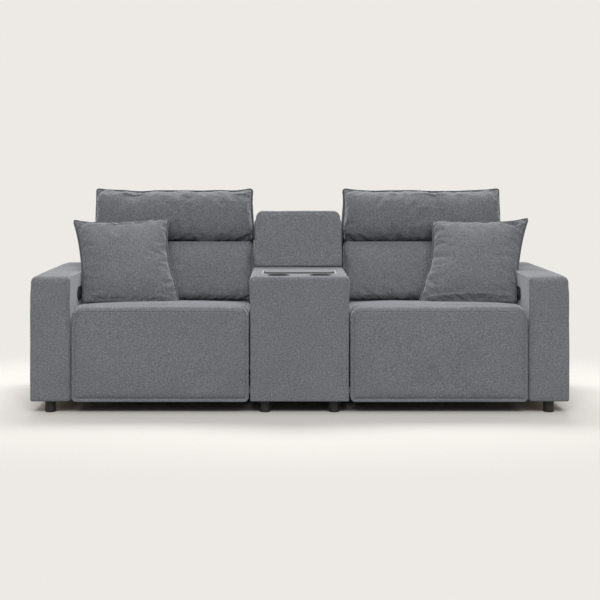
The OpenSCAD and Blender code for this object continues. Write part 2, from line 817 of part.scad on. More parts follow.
module seat_frame() {
    color("burlywood") {
        both_ends() slab([plate_x0 - rail_t, plate_x0], frame_y, [frame_z[0], deck_h]);
        slab([seat_x[0] + plate_x0, seat_x[1] - plate_x0], frame_y, [deck_h - deck_t, deck_h]);
        for (y = [frame_y[0], frame_y[1] - rail_t])
            slab([seat_x[0] + plate_x0, seat_x[1] - plate_x0], [y, y + rail_t],
                [deck_h - frame_rail_h, deck_h - deck_t]);
    }
}

torque_r = 11;
boss_r = 12;
leg_w = 40;

// Steel side plates: they carry the linkage's first pivot, the back's hinge and the slide shoes
module seat_plates() {
    color("silver") {
        both_ends() {
            difference() {
                plate_yz([plate_x0, plate_x0 + steel]) {
                    bar_outline(pivot_a, [recline_pivot[0] - link_w, frame_z[0] + link_w], 2 * link_w);
                    bar_outline([recline_pivot[0] - link_w, frame_z[0] + link_w], recline_pivot, 2 * boss_r);
                    for (y = shoe_y) translate([y + (shoe_l - leg_w) / 2, shoe_z])
                        square([leg_w, frame_z[0] + link_w - shoe_z]);
                }
                bar_x([plate_x0 - over, plate_x0 + steel + over], pivot_a, pin_r + pin_fit);
            }
            for (y = shoe_y) difference() {
                slab([shoe_inset, plate_x0], [y, y + shoe_l], [shoe_z, shoe_z + shoe_h]);
                slab([shoe_inset + shoe_w / 2 - web_t / 2 - shoe_fit, shoe_inset + shoe_w / 2 + web_t / 2 + shoe_fit],
                    [y - over, y + shoe_l + over], [shoe_z - over, rail_z + web_t + web_h + shoe_fit]);
            }
            bar_x([plate_x0 + steel, plate_x0 + 2 * steel + 2 * plate_fit], recline_pivot, pin_r);
        }
        slab([seat_x[0] + plate_x0 + steel, seat_x[1] - plate_x0 - steel],
            [cross_y, cross_y + tube_s], [frame_z[0] + link_w - tube_s / 2, frame_z[0] + link_w + tube_s / 2]);
    }
}

shoe_z = rail_z + web_t + shoe_fit;
cross_y = recline_pivot[0] - 2 * link_w;

module seat_cushion() {
    y = [front_y + panel_t + panel_gap, seat_rear];
    edge = 26;
    face_share = [0.93, 0.72];
    edge_share = [0.985, 0.94];
    centre = [seat_mid, (deck_h + seat_h) / 2];
    color("slategray") soft_prism(
        seat_outline([seat_x[0], seat_x[1]], deck_h + soft_gap, inner_corner_r, seat_h, seat_crown), centre,
        [[face_share, y[0]], [edge_share, y[0] + edge / 5], [[1, 1], y[0] + edge],
         [[1, 1], (y[0] + y[1]) / 2], [[1, 1], y[1] - edge], [edge_share, y[1] - edge / 5],
         [face_share, y[1]]]);
}

// Drive: a motor and a screw track under the deck, and the nut that runs along it
track_r = 9;
track_b_in = [190, -62];
track_a = [cross_y - drop_fit, frame_z[0] + link_w];
track_b = [front_y, deck_h] + track_b_in;
track_dir = (track_b - track_a) / norm(track_b - track_a);
track_len = norm(track_b - track_a);
nut_travel = 150;
nut_l = 44;
nut_s = 40;
nut_start = 60;
motor_r = 26;
motor_l = 110;

module on_track() {
    translate([seat_mid, track_a[0], track_a[1]])
        rotate([atan2(track_dir[1], track_dir[0]) + 180, 0, 0]) rotate([90, 0, 0]) children();
}

module drive_unit() {
    color("dimgray") on_track() {
        cylinder(h = track_len, r = track_r);
        translate([0, 0, track_len]) cylinder(h = nut_l / 2, r = motor_r);
        translate([0, -motor_r, track_len + nut_l / 4]) rotate([0, 90, 0])
            cylinder(h = motor_l, r = motor_r);
    }
}

module drive_nut() {
    color("ivory") on_track() translate([0, 0, nut_start]) difference() {
        translate([-nut_s / 2, -nut_s / 2, 0]) cube([nut_s, nut_s, nut_l]);
        translate([0, 0, -over]) cylinder(h = nut_l + 2 * over, r = track_r + pin_fit);
    }
}

// Footrest linkage and panel

module rear_links() {
    color("silver") {
        both_ends() {
            difference() {
                plate_yz([rear_link_x0, rear_link_x0 + steel]) bar_outline(pivot_a, pivot_b, link_w);
                bar_x([rear_link_x0 - over, rear_link_x0 + steel + over], pivot_b, pin_r + pin_fit);
            }
            bar_x([plate_x0, rear_link_x0], pivot_a, pin_r);
        }
        bar_x([seat_x[0] + rear_link_x0 + steel, seat_x[1] - rear_link_x0 - steel],
            pivot_a, torque_r);
    }
}

module front_links() {
    color("silver") both_ends() {
        difference() {
            plate_yz([front_link_x0, front_link_x0 + steel]) bar_outline(pivot_b, pivot_c, link_w);
            bar_x([front_link_x0 - over, front_link_x0 + steel + over], pivot_c, pin_r + pin_fit);
        }
        bar_x([rear_link_x0, front_link_x0], pivot_b, pin_r);
    }
}

board_t = 14;
board_inset = 26;
panel_y = [front_y, front_y + panel_t];
board_y = [panel_y[1] - board_t, panel_y[1]];
bracket_h = 60;

module footrest_board() {
    color("burlywood") slab([seat_x[0] + board_inset, seat_x[1] - board_inset], board_y,
        [floor_gap + board_inset, deck_h]);
    color("silver") both_ends() {
        plate_yz([bracket_x0, bracket_x0 + steel]) {
            translate([board_y[1], pivot_c[1] - bracket_h / 2])
                square([pivot_c[0] - board_y[1], bracket_h]);
            translate(pivot_c) circle(d = link_w);
        }
        bar_x([front_link_x0, bracket_x0], pivot_c, pin_r);
    }
}

module footrest_pad() {
    edge = 18;
    face_share = [0.95, 0.93];
    edge_share = [0.985, 0.975];
    rear_share = [0.98, 0.97];
    centre = [seat_mid, (floor_gap + seat_h) / 2];
    back = board_y[0] - soft_gap;
    color("slategray") soft_prism(
        seat_outline([seat_x[0], seat_x[1]], floor_gap, 2 * inner_corner_r, seat_h, seat_crown / 2), centre,
        [[face_share, panel_y[0]], [edge_share, panel_y[0] + edge / 5],
         [[1, 1], panel_y[0] + edge], [[1, 1], back - edge / 3], [rear_share, back]]);
}

// Back and headrest

module back_frame() {
    color("burlywood") on_back() {
        for (x = [seat_x[0] + post_w, seat_x[1] - 2 * post_w])
            slab([x, x + post_w], [0, post_t], [0, back_h]);
        for (z = [0, back_h / 2, back_h - post_w])
            slab([seat_x[0] + 2 * post_w, seat_x[1] - 2 * post_w], [0, post_t - back_panel_t], [z, z + post_w]);
        slab([seat_x[0] + 2 * post_w, seat_x[1] - 2 * post_w], [post_t - back_panel_t, post_t], [0, back_h]);
    }
    color("silver") both_ends() {
        difference() {
            plate_yz([plate_x0 + steel + plate_fit, post_w + over])
                bar_outline(recline_pivot, arm_end, 2 * boss_r);
            bar_x([plate_x0, post_w + 2 * over], recline_pivot, pin_r + pin_fit);
        }
        difference() {
            plate_yz([0, thin_steel]) bar_outline(headrest_pivot, headrest_root, link_w);
            bar_x([-over, thin_steel + over], headrest_pivot, pin_r + pin_fit);
            on_back() slab([-over, thin_steel + over], [0, post_t],
                [root_local[1] - 2 * link_w, root_local[1] + 2 * link_w]);
        }
        on_back() slab([0, 2 * post_w], [-thin_steel, 0],
            [root_local[1] - link_w, root_local[1] + link_w]);
    }
}

arm_end_in = [23, 17];
arm_end = back_foot + arm_end_in;
// Where the headrest's hinge arms leave the posts
headrest_root_in = [64, 340];
headrest_root = back_foot + headrest_root_in;
root_local = back_local(headrest_root);

cushion_gap = 8;
cushion_x = seat_w / 2 - cushion_gap;
lumbar_z0 = 30;
lumbar_edge = 156;
lumbar_crown_power = 0.3;
lumbar_pull_shares = [0.01, 0, 0.01, 0];
lumbar_corner_share = 0.03;
headrest_lift = 10;
headrest_z0 = lumbar_z0 + lumbar_h + headrest_lift;
headrest_edge = 92;
headrest_crown_power = 0.3;
headrest_side_share = 0.015;

module lumbar_cushion() {
    color("slategray") on_back()
        translate([seat_mid, -soft_gap - lumbar_edge / 2, lumbar_z0 + lumbar_h / 2])
            stuffed(2 * cushion_x, lumbar_h, lumbar_edge, lumbar_t - lumbar_edge, 0,
                lumbar_crown_power, lumbar_pull_shares, lumbar_corner_share);
}

headrest_board_t = 12;
headrest_board_gap = 0.5;
headrest_board_margin = [60, 40];
headrest_board_y = [-headrest_board_gap - headrest_board_t, -headrest_board_gap];
headrest_arm_in = [70, 420];
headrest_arm_end = back_foot + headrest_arm_in;
arm_end_local = back_local(headrest_arm_end);

module headrest_cushion() {
    top_pull = 2 * headrest_sag / headrest_h;
    color("slategray") on_back()
        translate([seat_mid, headrest_board_y[0] - soft_gap - headrest_edge / 2,
            headrest_z0 + headrest_h / 2])
            stuffed(2 * cushion_x, headrest_h, headrest_edge, headrest_t - headrest_edge, 0,
                headrest_crown_power, [headrest_side_share, top_pull, headrest_side_share, 0], 0);
}

module headrest_frame() {
    color("burlywood") on_back()
        slab([seat_x[0] + post_w, seat_x[1] - post_w], headrest_board_y,
            [headrest_z0 + headrest_board_margin[0], headrest_z0 + headrest_h - headrest_board_margin[1]]);
    color("silver") both_ends() {
        plate_yz([thin_steel + plate_fit, 2 * thin_steel + plate_fit])
            bar_outline(headrest_pivot, headrest_arm_end, link_w);
        bar_x([0, thin_steel + plate_fit], headrest_pivot, pin_r);
        on_back() slab([thin_steel + plate_fit, post_w],
            [headrest_board_y[0], headrest_board_y[0] + thin_steel],
            [arm_end_local[1] - link_w / 2, arm_end_local[1] + link_w / 2]);
    }
}

// Padded shell over the back's rear, sides and top, hollow where the frame stands
module back_shell() {
    depth = [0, post_t + shell_t];
    height = [-shell_drop, shell_top];
    color("slategray") on_back() difference() {
        intersection() {
            plate_yz(seat_x) round_rect(depth, height, shell_r);
            prism_xz(depth) round_rect(seat_x, height, shell_corner_r);
        }
        slab([seat_x[0] + post_w, seat_x[1] - post_w], [-over, post_t], [-shell_drop - over, back_h]);
        slab([seat_x[0] - over, seat_x[1] + over], [-over, post_t], [-shell_drop - over, wing_z0]);
    }
}

actuator_r = 14;
actuator_l = 150;

module headrest_motor() {
    color("dimgray") on_back() translate([seat_mid, (post_t - back_panel_t) / 2, back_h / 2 - actuator_l - link_w / 2]) {
        cylinder(h = actuator_l, r = actuator_r);
        translate([0, 0, -motor_l / 2]) cylinder(h = motor_l / 2, r = actuator_r + steel);
    }
}

// Throw pillow, leaning on the back in the corner of the arm

pillow_lean = 37;
pillow_yaw = 10;
pillow_roll = -9;
pillow_in = [-212.3, 443, 45.1];
pillow_at = [arm_x, front_y, arm_h] + pillow_in;

module throw_pillow() {
    edge = 10;
    rise = (pillow_t - edge) / 2;
    crown_power = 0.55;
    pull = [for (side = [0 : 3]) pillow_pull_share];
    color("slategray") translate(pillow_at) rotate([-pillow_lean, 0, 0]) rotate([0, 0, -pillow_yaw])
        rotate([0, -pillow_roll, 0])
            stuffed(pillow_s, pillow_s, edge, rise, rise, crown_power, pull, 0);
}

// Named pieces

module left_arm_cover() { left_side() arm_cover(); }
module right_arm_cover() { arm_cover(); }
module left_arm_frame() { left_side() arm_frame(); }
module right_arm_frame() { arm_frame(); }
module left_cup_holder() { left_side() cup_holder(); }
module right_cup_holder() { cup_holder(); }
module left_base_rails() { left_side() base_rails(); }
module right_base_rails() { base_rails(); }
module left_control_plate() { left_side() control_plate(); }
module right_control_plate() { control_plate(); }
module left_seat_frame() { left_side() seat_frame(); }
module right_seat_frame() { seat_frame(); }
module left_seat_plates() { left_side() seat_plates(); }
module right_seat_plates() { seat_plates(); }
module left_seat_cushion() { left_side() seat_cushion(); }
module right_seat_cushion() { seat_cushion(); }
module left_drive_unit() { left_side() drive_unit(); }
module right_drive_unit() { drive_unit(); }
module left_drive_nut() { left_side() drive_nut(); }
module right_drive_nut() { drive_nut(); }
module left_rear_links() { left_side() rear_links(); }
module right_rear_links() { rear_links(); }
module left_front_links() { left_side() front_links(); }
module right_front_links() { front_links(); }
module left_footrest_board() { left_side() footrest_board(); }
module right_footrest_board() { footrest_board(); }
module left_footrest_pad() { left_side() footrest_pad(); }
module right_footrest_pad() { footrest_pad(); }
module left_back_frame() { left_side() back_frame(); }
module right_back_frame() { back_frame(); }
module left_lumbar_cushion() { left_side() lumbar_cushion(); }
module right_lumbar_cushion() { lumbar_cushion(); }
module left_back_shell() { left_side() back_shell(); }
module right_back_shell() { back_shell(); }
module left_headrest_frame() { left_side() headrest_frame(); }
module right_headrest_frame() { headrest_frame(); }
module left_headrest_cushion() { left_side() headrest_cushion(); }
module right_headrest_cushion() { headrest_cushion(); }
module left_headrest_motor() { left_side() headrest_motor(); }
module right_headrest_motor() { headrest_motor(); }
module left_throw_pillow() { left_side() throw_pillow(); }
module right_throw_pillow() { throw_pillow(); }
module left_recline_button() { left_side() button(-1); }
module right_recline_button() { button(-1); }
module left_headrest_button() { left_side() button(1); }
module right_headrest_button() { button(1); }

left_arm_cover();
right_arm_cover();
left_arm_frame();
right_arm_frame();
console_cover();
console_frame();
console_deck();
left_cup_holder();
right_cup_holder();
storage_tray();
console_back_cover();
console_hinges();
feet();
left_base_rails();
right_base_rails();
left_control_plate();
right_control_plate();
power_supply();
power_inlet();
rear_panel();
dust_cover();
block_cover();
block_board();
left_seat_frame();
right_seat_frame();
left_seat_plates();
right_seat_plates();
left_seat_cushion();
right_seat_cushion();
left_drive_unit();
right_drive_unit();
left_drive_nut();
right_drive_nut();
left_rear_links();
right_rear_links();
left_front_links();
right_front_links();
left_footrest_board();
right_footrest_board();
left_footrest_pad();
right_footrest_pad();
left_back_frame();
right_back_frame();
left_lumbar_cushion();
right_lumbar_cushion();
left_back_shell();
right_back_shell();
left_headrest_frame();
right_headrest_frame();
left_headrest_cushion();
right_headrest_cushion();
left_headrest_motor();
right_headrest_motor();
left_throw_pillow();
right_throw_pillow();
left_recline_button();
right_recline_button();
left_headrest_button();
right_headrest_button();
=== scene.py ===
import bpy
import math
import numpy as np
from mathutils import Matrix, Vector


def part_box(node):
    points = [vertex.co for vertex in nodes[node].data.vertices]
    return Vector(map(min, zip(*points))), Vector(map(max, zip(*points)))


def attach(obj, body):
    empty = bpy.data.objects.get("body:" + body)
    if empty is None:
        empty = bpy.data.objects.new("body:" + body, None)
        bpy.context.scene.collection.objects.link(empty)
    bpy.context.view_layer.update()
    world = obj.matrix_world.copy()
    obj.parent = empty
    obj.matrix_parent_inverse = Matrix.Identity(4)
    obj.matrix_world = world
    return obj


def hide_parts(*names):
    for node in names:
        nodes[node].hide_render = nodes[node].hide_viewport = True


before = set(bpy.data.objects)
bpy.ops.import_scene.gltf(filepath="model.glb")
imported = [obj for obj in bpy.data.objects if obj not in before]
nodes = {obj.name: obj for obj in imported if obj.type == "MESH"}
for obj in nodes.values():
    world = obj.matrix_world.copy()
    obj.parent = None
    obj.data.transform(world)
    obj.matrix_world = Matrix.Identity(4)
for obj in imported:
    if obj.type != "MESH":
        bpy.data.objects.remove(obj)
scene = bpy.context.scene
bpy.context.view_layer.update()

MM = 0.001
SIDES = ("left", "right")
SKIN = 0.5 * MM  # a point this near a face of its box is on that face
BACK_LEAN = math.radians(12)
BACK_FOOT = (0.2999, 0.380)  # y and z of the recline hinge
SEAT_MID = 0.621  # x of the middle of the right seat
CUSHION_HALF = 0.387  # half the width of a headrest or lumbar cushion
RIM_LOW, RIM_HIGH = 0.6015, 0.6040  # the tray turns from dark to pale between these heights; the pale rim is a painted highlight, and the dark below is partly its own colour and partly painted shade in the well
LINING_TOP = 0.068  # the console's frame is lined below this height
DECK_TOP = 0.6128  # nothing of the upright block goes below this height
ARM_CLEAR = 1.0140  # the headrests reach about this far out, clear of the arms
BACKDROP = (237, 234, 229)
FLOOR_SEEN, FLOOR_LIT = (230, 227, 222), (158, 156, 153)  # as the camera sees it, and as it lights


# ---- camera

FOCAL_MM = 81.0
SENSOR_MM = 36.0

camera_data = bpy.data.cameras.new("front_camera")
camera_data.lens = FOCAL_MM
camera_data.sensor_width = SENSOR_MM
camera_data.shift_x = 0.0268
camera_data.shift_y = -0.2167
camera_data.clip_end = 60
camera = bpy.data.objects.new("front_camera", camera_data)
camera.location = (-0.070, -6.5, 1.085)
camera.rotation_euler = (math.radians(90), 0, 0)
scene.collection.objects.link(camera)
scene.camera = camera


# ---- materials

def linear(rgb):
    """Linear colour of an 8-bit display colour."""
    out = []
    for value in rgb:
        c = value / 255
        out.append(c / 12.92 if c <= 0.04045 else ((c + 0.055) / 1.055) ** 2.4)
    return tuple(out) + (1.0,)


def new_node(tree, kind, **inputs):
    """A shader node of this kind. An underscore stands for a space in an input's name."""
    node = tree.nodes.new(kind)
    for key, value in inputs.items():
        node.inputs[key.replace("_", " ")].default_value = value
    return node


def fresh(block):
    """The emptied node tree of a world or material."""
    block.use_nodes = True
    block.node_tree.nodes.clear()
    return block.node_tree


class Shader:
    """A material's node tree, with short calls that add and join nodes."""

    def __init__(self, name):
        self.material = bpy.data.materials.new(name)
        self.tree = fresh(self.material)
        self.bsdf = self.new("ShaderNodeBsdfPrincipled")
        self.join(self.bsdf, "BSDF", self.new("ShaderNodeOutputMaterial"), "Surface")
        self.place = self.new("ShaderNodeTexCoord")

    def new(self, kind, **inputs):
        return new_node(self.tree, kind, **inputs)

    def join(self, a, out, b, to):
        self.tree.links.new(a.outputs[out], b.inputs[to])

    def set(self, **values):
        for key, value in values.items():
            self.bsdf.inputs[key.replace("_", " ")].default_value = value

    def placed(self, kind, **inputs):
        """A node of this kind that reads the place on the object."""
        node = self.new(kind, **inputs)
        self.join(self.place, "Object", node, "Vector")
        return node

    def stretched(self, scale):
        return self.placed("ShaderNodeMapping", Scale=scale)

    def noise(self, scale, detail=2.0, roughness=0.5, source=None, distortion=0.0):
        node = self.new("ShaderNodeTexNoise", Scale=scale, Detail=detail, Roughness=roughness,
                        Distortion=distortion)
        self.join(source or self.place, "Vector" if source else "Object", node, "Vector")
        return node

    def cells(self, scale):
        return self.placed("ShaderNodeTexVoronoi", Scale=scale)

    def ramp(self, node, out, stops):
        ramp = self.new("ShaderNodeValToRGB")
        points = ramp.color_ramp.elements
        while len(points) < len(stops):
            points.new(0.5)
        for point, (at, colour) in zip(points, stops):
            point.position = at
            point.color = colour
        self.join(node, out, ramp, "Fac")
        return ramp

    def grey_ramp(self, node, out, stops):
        return self.ramp(node, out, [(at, (g, g, g, 1)) for at, g in stops])

    def blend(self, mode, amount, a, b):
        """Mix of two colour outputs, or of a colour output and a fixed colour."""
        node = self.new("ShaderNodeMix")
        node.data_type = "RGBA"
        node.blend_type = mode
        if isinstance(amount, float):
            node.inputs["Factor"].default_value = amount
        else:
            self.join(amount[0], amount[1], node, "Factor")
        for socket, value in (("A", a), ("B", b)):
            target = [s for s in node.inputs if s.name == socket and s.type == "RGBA"][0]
            if hasattr(value[0], "outputs"):
                self.tree.links.new(value[0].outputs[value[1]], target)
            else:
                target.default_value = value
        return node

    def paint(self, node):
        """Use a colour mix or ramp as the base colour."""
        out = [s for s in node.outputs if s.type == "RGBA"][0]
        self.tree.links.new(out, self.bsdf.inputs["Base Color"])

    def rough(self, node, out, low, high):
        span = self.new("ShaderNodeMapRange", To_Min=low, To_Max=high)
        self.join(node, out, span, "Value")
        self.join(span, "Result", self.bsdf, "Roughness")

    def bump(self, node, out, height, strength, under=None):
        bump = self.new("ShaderNodeBump", Distance=height, Strength=strength)
        self.join(node, out, bump, "Height")
        if under is not None:
            self.join(under, "Normal", bump, "Normal")
        self.join(bump, "Normal", self.bsdf, "Normal")
        return bump


def rgba_out(node):
    return [s for s in node.outputs if s.type == "RGBA"][0].name


def boucle(name, base, light, dark):
    """Looped, heathered upholstery cloth: pale and dark yarn over a mid tone."""
    s = Shader(name)
    yarn = s.noise(150, 3.0, 0.62, distortion=0.4)
    tone = s.ramp(yarn, "Fac", [(0.30, linear(dark)), (0.49, linear(base)), (0.56, linear(base)),
                                (0.74, linear(light))])
    fleck = s.noise(330, 2.0, 0.6)
    mask = s.grey_ramp(fleck, "Fac", [(0.56, 0.0), (0.70, 1.0)])
    pale = s.blend("MIX", (mask, "Color"), (tone, "Color"), linear([min(255, c + 7) for c in light]))
    cloud = s.noise(5.5, 2.0, 0.5)
    shade = s.grey_ramp(cloud, "Fac", [(0.3, 0.955), (0.7, 1.03)])
    s.paint(s.blend("MULTIPLY", 1.0, (pale, rgba_out(pale)), (shade, "Color")))
    s.rough(yarn, "Fac", 0.82, 0.97)
    knots = s.cells(210)
    first = s.bump(knots, "Distance", 0.0016, 0.55)
    first.invert = True
    s.bump(yarn, "Fac", 0.0022, 0.5, under=first)
    s.set(Sheen_Weight=0.50, Sheen_Roughness=0.42, Sheen_Tint=(0.89, 0.90, 0.92, 1), Specular_IOR_Level=0.18)
    return s.material


def moulded(name, colour, low, high, grain=900, height=0.00012):
    """Moulded or painted hard surface with a fine grain and slight wear."""
    s = Shader(name)
    wear = s.noise(14, 3.0, 0.6)
    worn = [min(255, c + 12) for c in colour]
    s.paint(s.ramp(wear, "Fac", [(0.35, linear(colour)), (0.75, linear(worn))]))
    fine = s.noise(grain, 2.0, 0.5)
    s.rough(wear, "Fac", low, high)
    s.bump(fine, "Fac", height, 0.35)
    return s.material


def zinc(name):
    """Plated pressed steel, with faint drawing lines and dull patches."""
    s = Shader(name)
    lines = s.noise(60, 3.0, 0.6, source=s.stretched((1.0, 0.25, 3.0)))
    s.paint(s.ramp(lines, "Fac", [(0.3, linear((118, 120, 124))), (0.7, linear((168, 170, 172)))]))
    s.rough(lines, "Fac", 0.28, 0.46)
    s.bump(lines, "Fac", 0.0001, 0.25)
    s.set(Metallic=0.85)
    return s.material


def birch(name):
    """Birch ply: pale bands of grain with darker pores."""
    s = Shader(name)
    grain = s.noise(9, 5.0, 0.62, source=s.stretched((5.0, 1.0, 14.0)), distortion=1.4)
    s.paint(s.ramp(grain, "Fac", [(0.28, linear((150, 116, 78))), (0.5, linear((193, 160, 116))),
                                  (0.75, linear((214, 186, 146)))]))
    s.rough(grain, "Fac", 0.55, 0.75)
    s.bump(grain, "Fac", 0.0004, 0.3)
    return s.material


def woven_dust(name):
    """Black spun cloth for under the sofa."""
    s = Shader(name)
    spots = s.cells(420)
    s.paint(s.ramp(spots, "Distance", [(0.0, linear((13, 13, 14))), (0.6, linear((25, 25, 26)))]))
    s.rough(spots, "Distance", 0.8, 0.95)
    s.bump(spots, "Distance", 0.0006, 0.5)
    return s.material


def insert(name):
    """Dark satin insert with brushed roughness all over, its rim at the deck painted pale as a painted
    highlight; the dark below is partly its own colour and partly painted shade in the well.
    """
    s = Shader(name)
    split = s.placed("ShaderNodeSeparateXYZ")
    # painted highlight: pale above RIM_HIGH on the rim; below RIM_LOW the dark is partly the insert's colour
    # and partly painted shade in the well
    span = s.new("ShaderNodeMapRange", From_Min=RIM_LOW, From_Max=RIM_HIGH)
    s.join(split, "Z", span, "Value")
    s.paint(s.ramp(span, "Result", [(0.0, linear((40, 41, 44))), (1.0, linear((186, 186, 189)))]))
    brushed = s.noise(180, 2.0, 0.5, source=s.stretched((0.2, 1.0, 1.0)))
    s.rough(brushed, "Fac", 0.30, 0.45)
    s.bump(brushed, "Fac", 0.0001, 0.3)
    return s.material


CLOTH = boucle("heather_boucle", (113, 115, 119), (143, 145, 149), (85, 87, 91))
# painted shade: the same heathered cloth made darker for the headrests and scatter pillows, which catch more
# light
SHADED_CLOTH = boucle("cover_boucle", (103, 105, 109), (133, 135, 139), (76, 78, 82))
# painted shade: a darker copy of the cloth for the welts round the headrests and scatter pillows, so their
# rims read as shaded
WELT_SHADE = boucle("edge_boucle", (80, 82, 86), (104, 106, 110), (60, 62, 65))
PLASTIC = moulded("black_moulding", (11, 11, 12), 0.5, 0.65)
BUTTONS = moulded("button_moulding", (36, 36, 38), 0.3, 0.42, grain=600)
# dark motor paint, also used as painted shade on the back frame brackets and the console hinges
CASES_AND_SHADE = moulded("motor_paint_and_painted_shade", (46, 47, 50), 0.42, 0.6, grain=400, height=0.0002)
NYLON = moulded("white_nylon", (214, 211, 202), 0.42, 0.55)
TRAY = insert("satin_insert_painted_highlight")
STEEL = zinc("plated_steel")
PLY = birch("birch_ply")
DUST = woven_dust("under_cloth")

FINISH = {
    "upholstery": CLOTH,
    "dust_cloth": DUST,
    "plywood": PLY,
    "steel": STEEL,
    "nylon": NYLON,
    "motor_case": CASES_AND_SHADE,
    "black_plastic": PLASTIC,
    "button_plastic": BUTTONS,
}

for node in nodes.values():
    for place in node.material_slots:
        found = place.material.name.split(".")[0] if place.material else ""
        for word, finish in FINISH.items():
            if word in found or found in word and found:
                place.material = finish
                break


def refinish(name, material):
    """Give a CAD node this material all over."""
    for place in nodes[name].material_slots:
        place.material = material


def refinish_faces(name, material, chosen):
    """Give a CAD node this material on the faces whose centres are chosen."""
    mesh, place = nodes[name].data, nodes[name].matrix_world
    mesh.materials.append(material)
    for face in mesh.polygons:
        if chosen(place @ face.center):
            face.material_index = len(mesh.materials) - 1


def bracket(name, reach, ahead):
    """The test for the steel brackets at both ends of a wooden frame in the back, which are painted dark as
    painted shade in the gaps.
    """
    place = nodes[name].matrix_world
    across = [(place @ v.co)[0] for v in nodes[name].data.vertices]
    near, far = min(across) + reach, max(across) - reach
    c, s = math.cos(BACK_LEAN), math.sin(BACK_LEAN)
    return lambda at: ((at[1] - BACK_FOOT[0]) * c - (at[2] - BACK_FOOT[1]) * s < ahead
                       and not near < at[0] < far)


for side in SIDES:
    # the wooden frames are lined with cloth, and the steel brackets of the two in the back are painted dark
    # as painted shade, so the gaps where they show read as shadowed
    for part, reach, ahead, wrap in (("headrest_frame", 12 * MM, 1.0, CLOTH),
                                     ("back_frame", 30 * MM, -0.6 * MM, DUST)):
        refinish(f"{side}_{part}", wrap)
        refinish_faces(f"{side}_{part}", CASES_AND_SHADE, bracket(f"{side}_{part}", reach, ahead))
    refinish(f"{side}_seat_frame", DUST)
    refinish(f"{side}_cup_holder", CASES_AND_SHADE)
refinish("storage_tray", TRAY)
# painted shade: the console hinges are painted dark so they read as the shadow line at the foot of the
# upright block
refinish("console_hinges", CASES_AND_SHADE)
refinish_faces("console_frame", DUST, lambda at: at[2] < LINING_TOP)


# ---- arrays and noise

def smooth(value, start, end):
    """0 before start, 1 after end, and a soft rise between."""
    t = np.clip((value - start) / (end - start), 0, 1)
    return t * t * (3 - 2 * t)


def rise(value, base, start, end):
    """0 up to start and 1 after end, both in mm from the base."""
    return smooth(value, base + start * MM, base + end * MM)


def hump(value, start, end, power):
    """0 at start and end and 1 halfway, flatter on top for a smaller power."""
    return np.sin(np.pi * np.clip((value - start) / (end - start), 0, 1)) ** power


def centred(value, start, end):
    """-1 at start, 0 halfway and 1 at end."""
    return (value - (start + end) / 2) / ((end - start) / 2)


def noise(points, size, seed):
    """Smooth value noise from -1 to 1, with blobs about as wide as size."""
    q = np.asarray(points, float) / size + 0.137 * seed
    cell = np.floor(q).astype(np.int64)
    t = q - cell
    t = t * t * t * (t * (t * 6 - 15) + 10)
    total = np.zeros(len(q))
    for corner in np.ndindex(2, 2, 2):
        c = cell + np.array(corner)
        h = (c[:, 0] * 73856093 ^ c[:, 1] * 19349663 ^ c[:, 2] * 83492791 ^ seed * 97531) & 0xFFFFFFFF
        h = ((h ^ (h >> 13)) * 1274126177) & 0xFFFFFFFF
        value = ((h ^ (h >> 16)) & 0xFFFF) / 32767.5 - 1
        near = np.where(np.array(corner) == 1, t, 1 - t)
        total += value * near[:, 0] * near[:, 1] * near[:, 2]
    return total


def normals(points, faces):
    """Vertex normals of a quad mesh."""
    f = np.asarray(faces)
    across = np.cross(points[f[:, 2]] - points[f[:, 0]], points[f[:, 3]] - points[f[:, 1]])
    out = np.zeros_like(points)
    for k in range(4):
        np.add.at(out, f[:, k], across)
    return out / np.maximum(np.linalg.norm(out, axis=1, keepdims=True), 1e-12)


def push(points, faces, amount):
    """Move each vertex along its normal."""
    return points + normals(points, faces) * np.asarray(amount)[:, None]


def lines(a, b, near, far, step, marks=()):
    """Grid lines from a to b: close over the rounded ends and at the marks. Radii and step are in mm."""
    turn = 1 - np.tan(np.radians(np.array([45, 36, 27, 18, 9, 0])))
    kept = [a, b]
    for radius in near:
        kept += list(a + radius * MM * turn)
    for radius in far:
        kept += list(b - radius * MM * turn)
    low, high = a + max(near) * MM, b - max(far) * MM
    even = np.linspace(low, high, max(2, int(round((high - low) / (step * MM))) + 1))
    kept += [m + d * MM for m in marks for d in (-5, -2.5, -1, 0, 1, 2.5, 5)]
    kept += [v for v in even if not marks or min(abs(v - m) for m in marks) > 7 * MM]
    out = []
    for v in sorted(v for v in kept if a <= v <= b):
        if not out or v - out[-1] > 0.7 * MM:
            out.append(float(v))
    if b - out[-1] > 0:
        out[-1] = b
    return np.array(out)


def grid_quads(index):
    """Quads of an index grid; the normal is first axis cross second axis."""
    return np.stack([index[:-1, :-1], index[1:, :-1], index[1:, 1:], index[:-1, 1:]], -1).reshape(-1, 4)


def box_grid(xs, ys, zs):
    """Points and outward quads of a closed box whose faces carry these lines."""
    shape = (len(xs), len(ys), len(zs))
    i, j, k = np.indices(shape)
    skin = ((i == 0) | (i == shape[0] - 1) | (j == 0) | (j == shape[1] - 1)
            | (k == 0) | (k == shape[2] - 1))
    index = np.full(shape, -1)
    index[skin] = np.arange(skin.sum())
    points = np.stack([xs[i[skin]], ys[j[skin]], zs[k[skin]]], 1)
    faces = np.concatenate([
        grid_quads(index[0])[:, ::-1], grid_quads(index[-1]),
        grid_quads(index[:, 0]), grid_quads(index[:, -1])[:, ::-1],
        grid_quads(index[:, :, 0])[:, ::-1], grid_quads(index[:, :, -1])])
    return points, faces


def box_form(lo, hi, *ways):
    """Points and quads of a closed box, and a copy of the points. A way is what lines() takes for an axis."""
    points, faces = box_grid(*(lines(lo[k], hi[k], *way) for k, way in enumerate(ways)))
    return points, faces, points.copy()


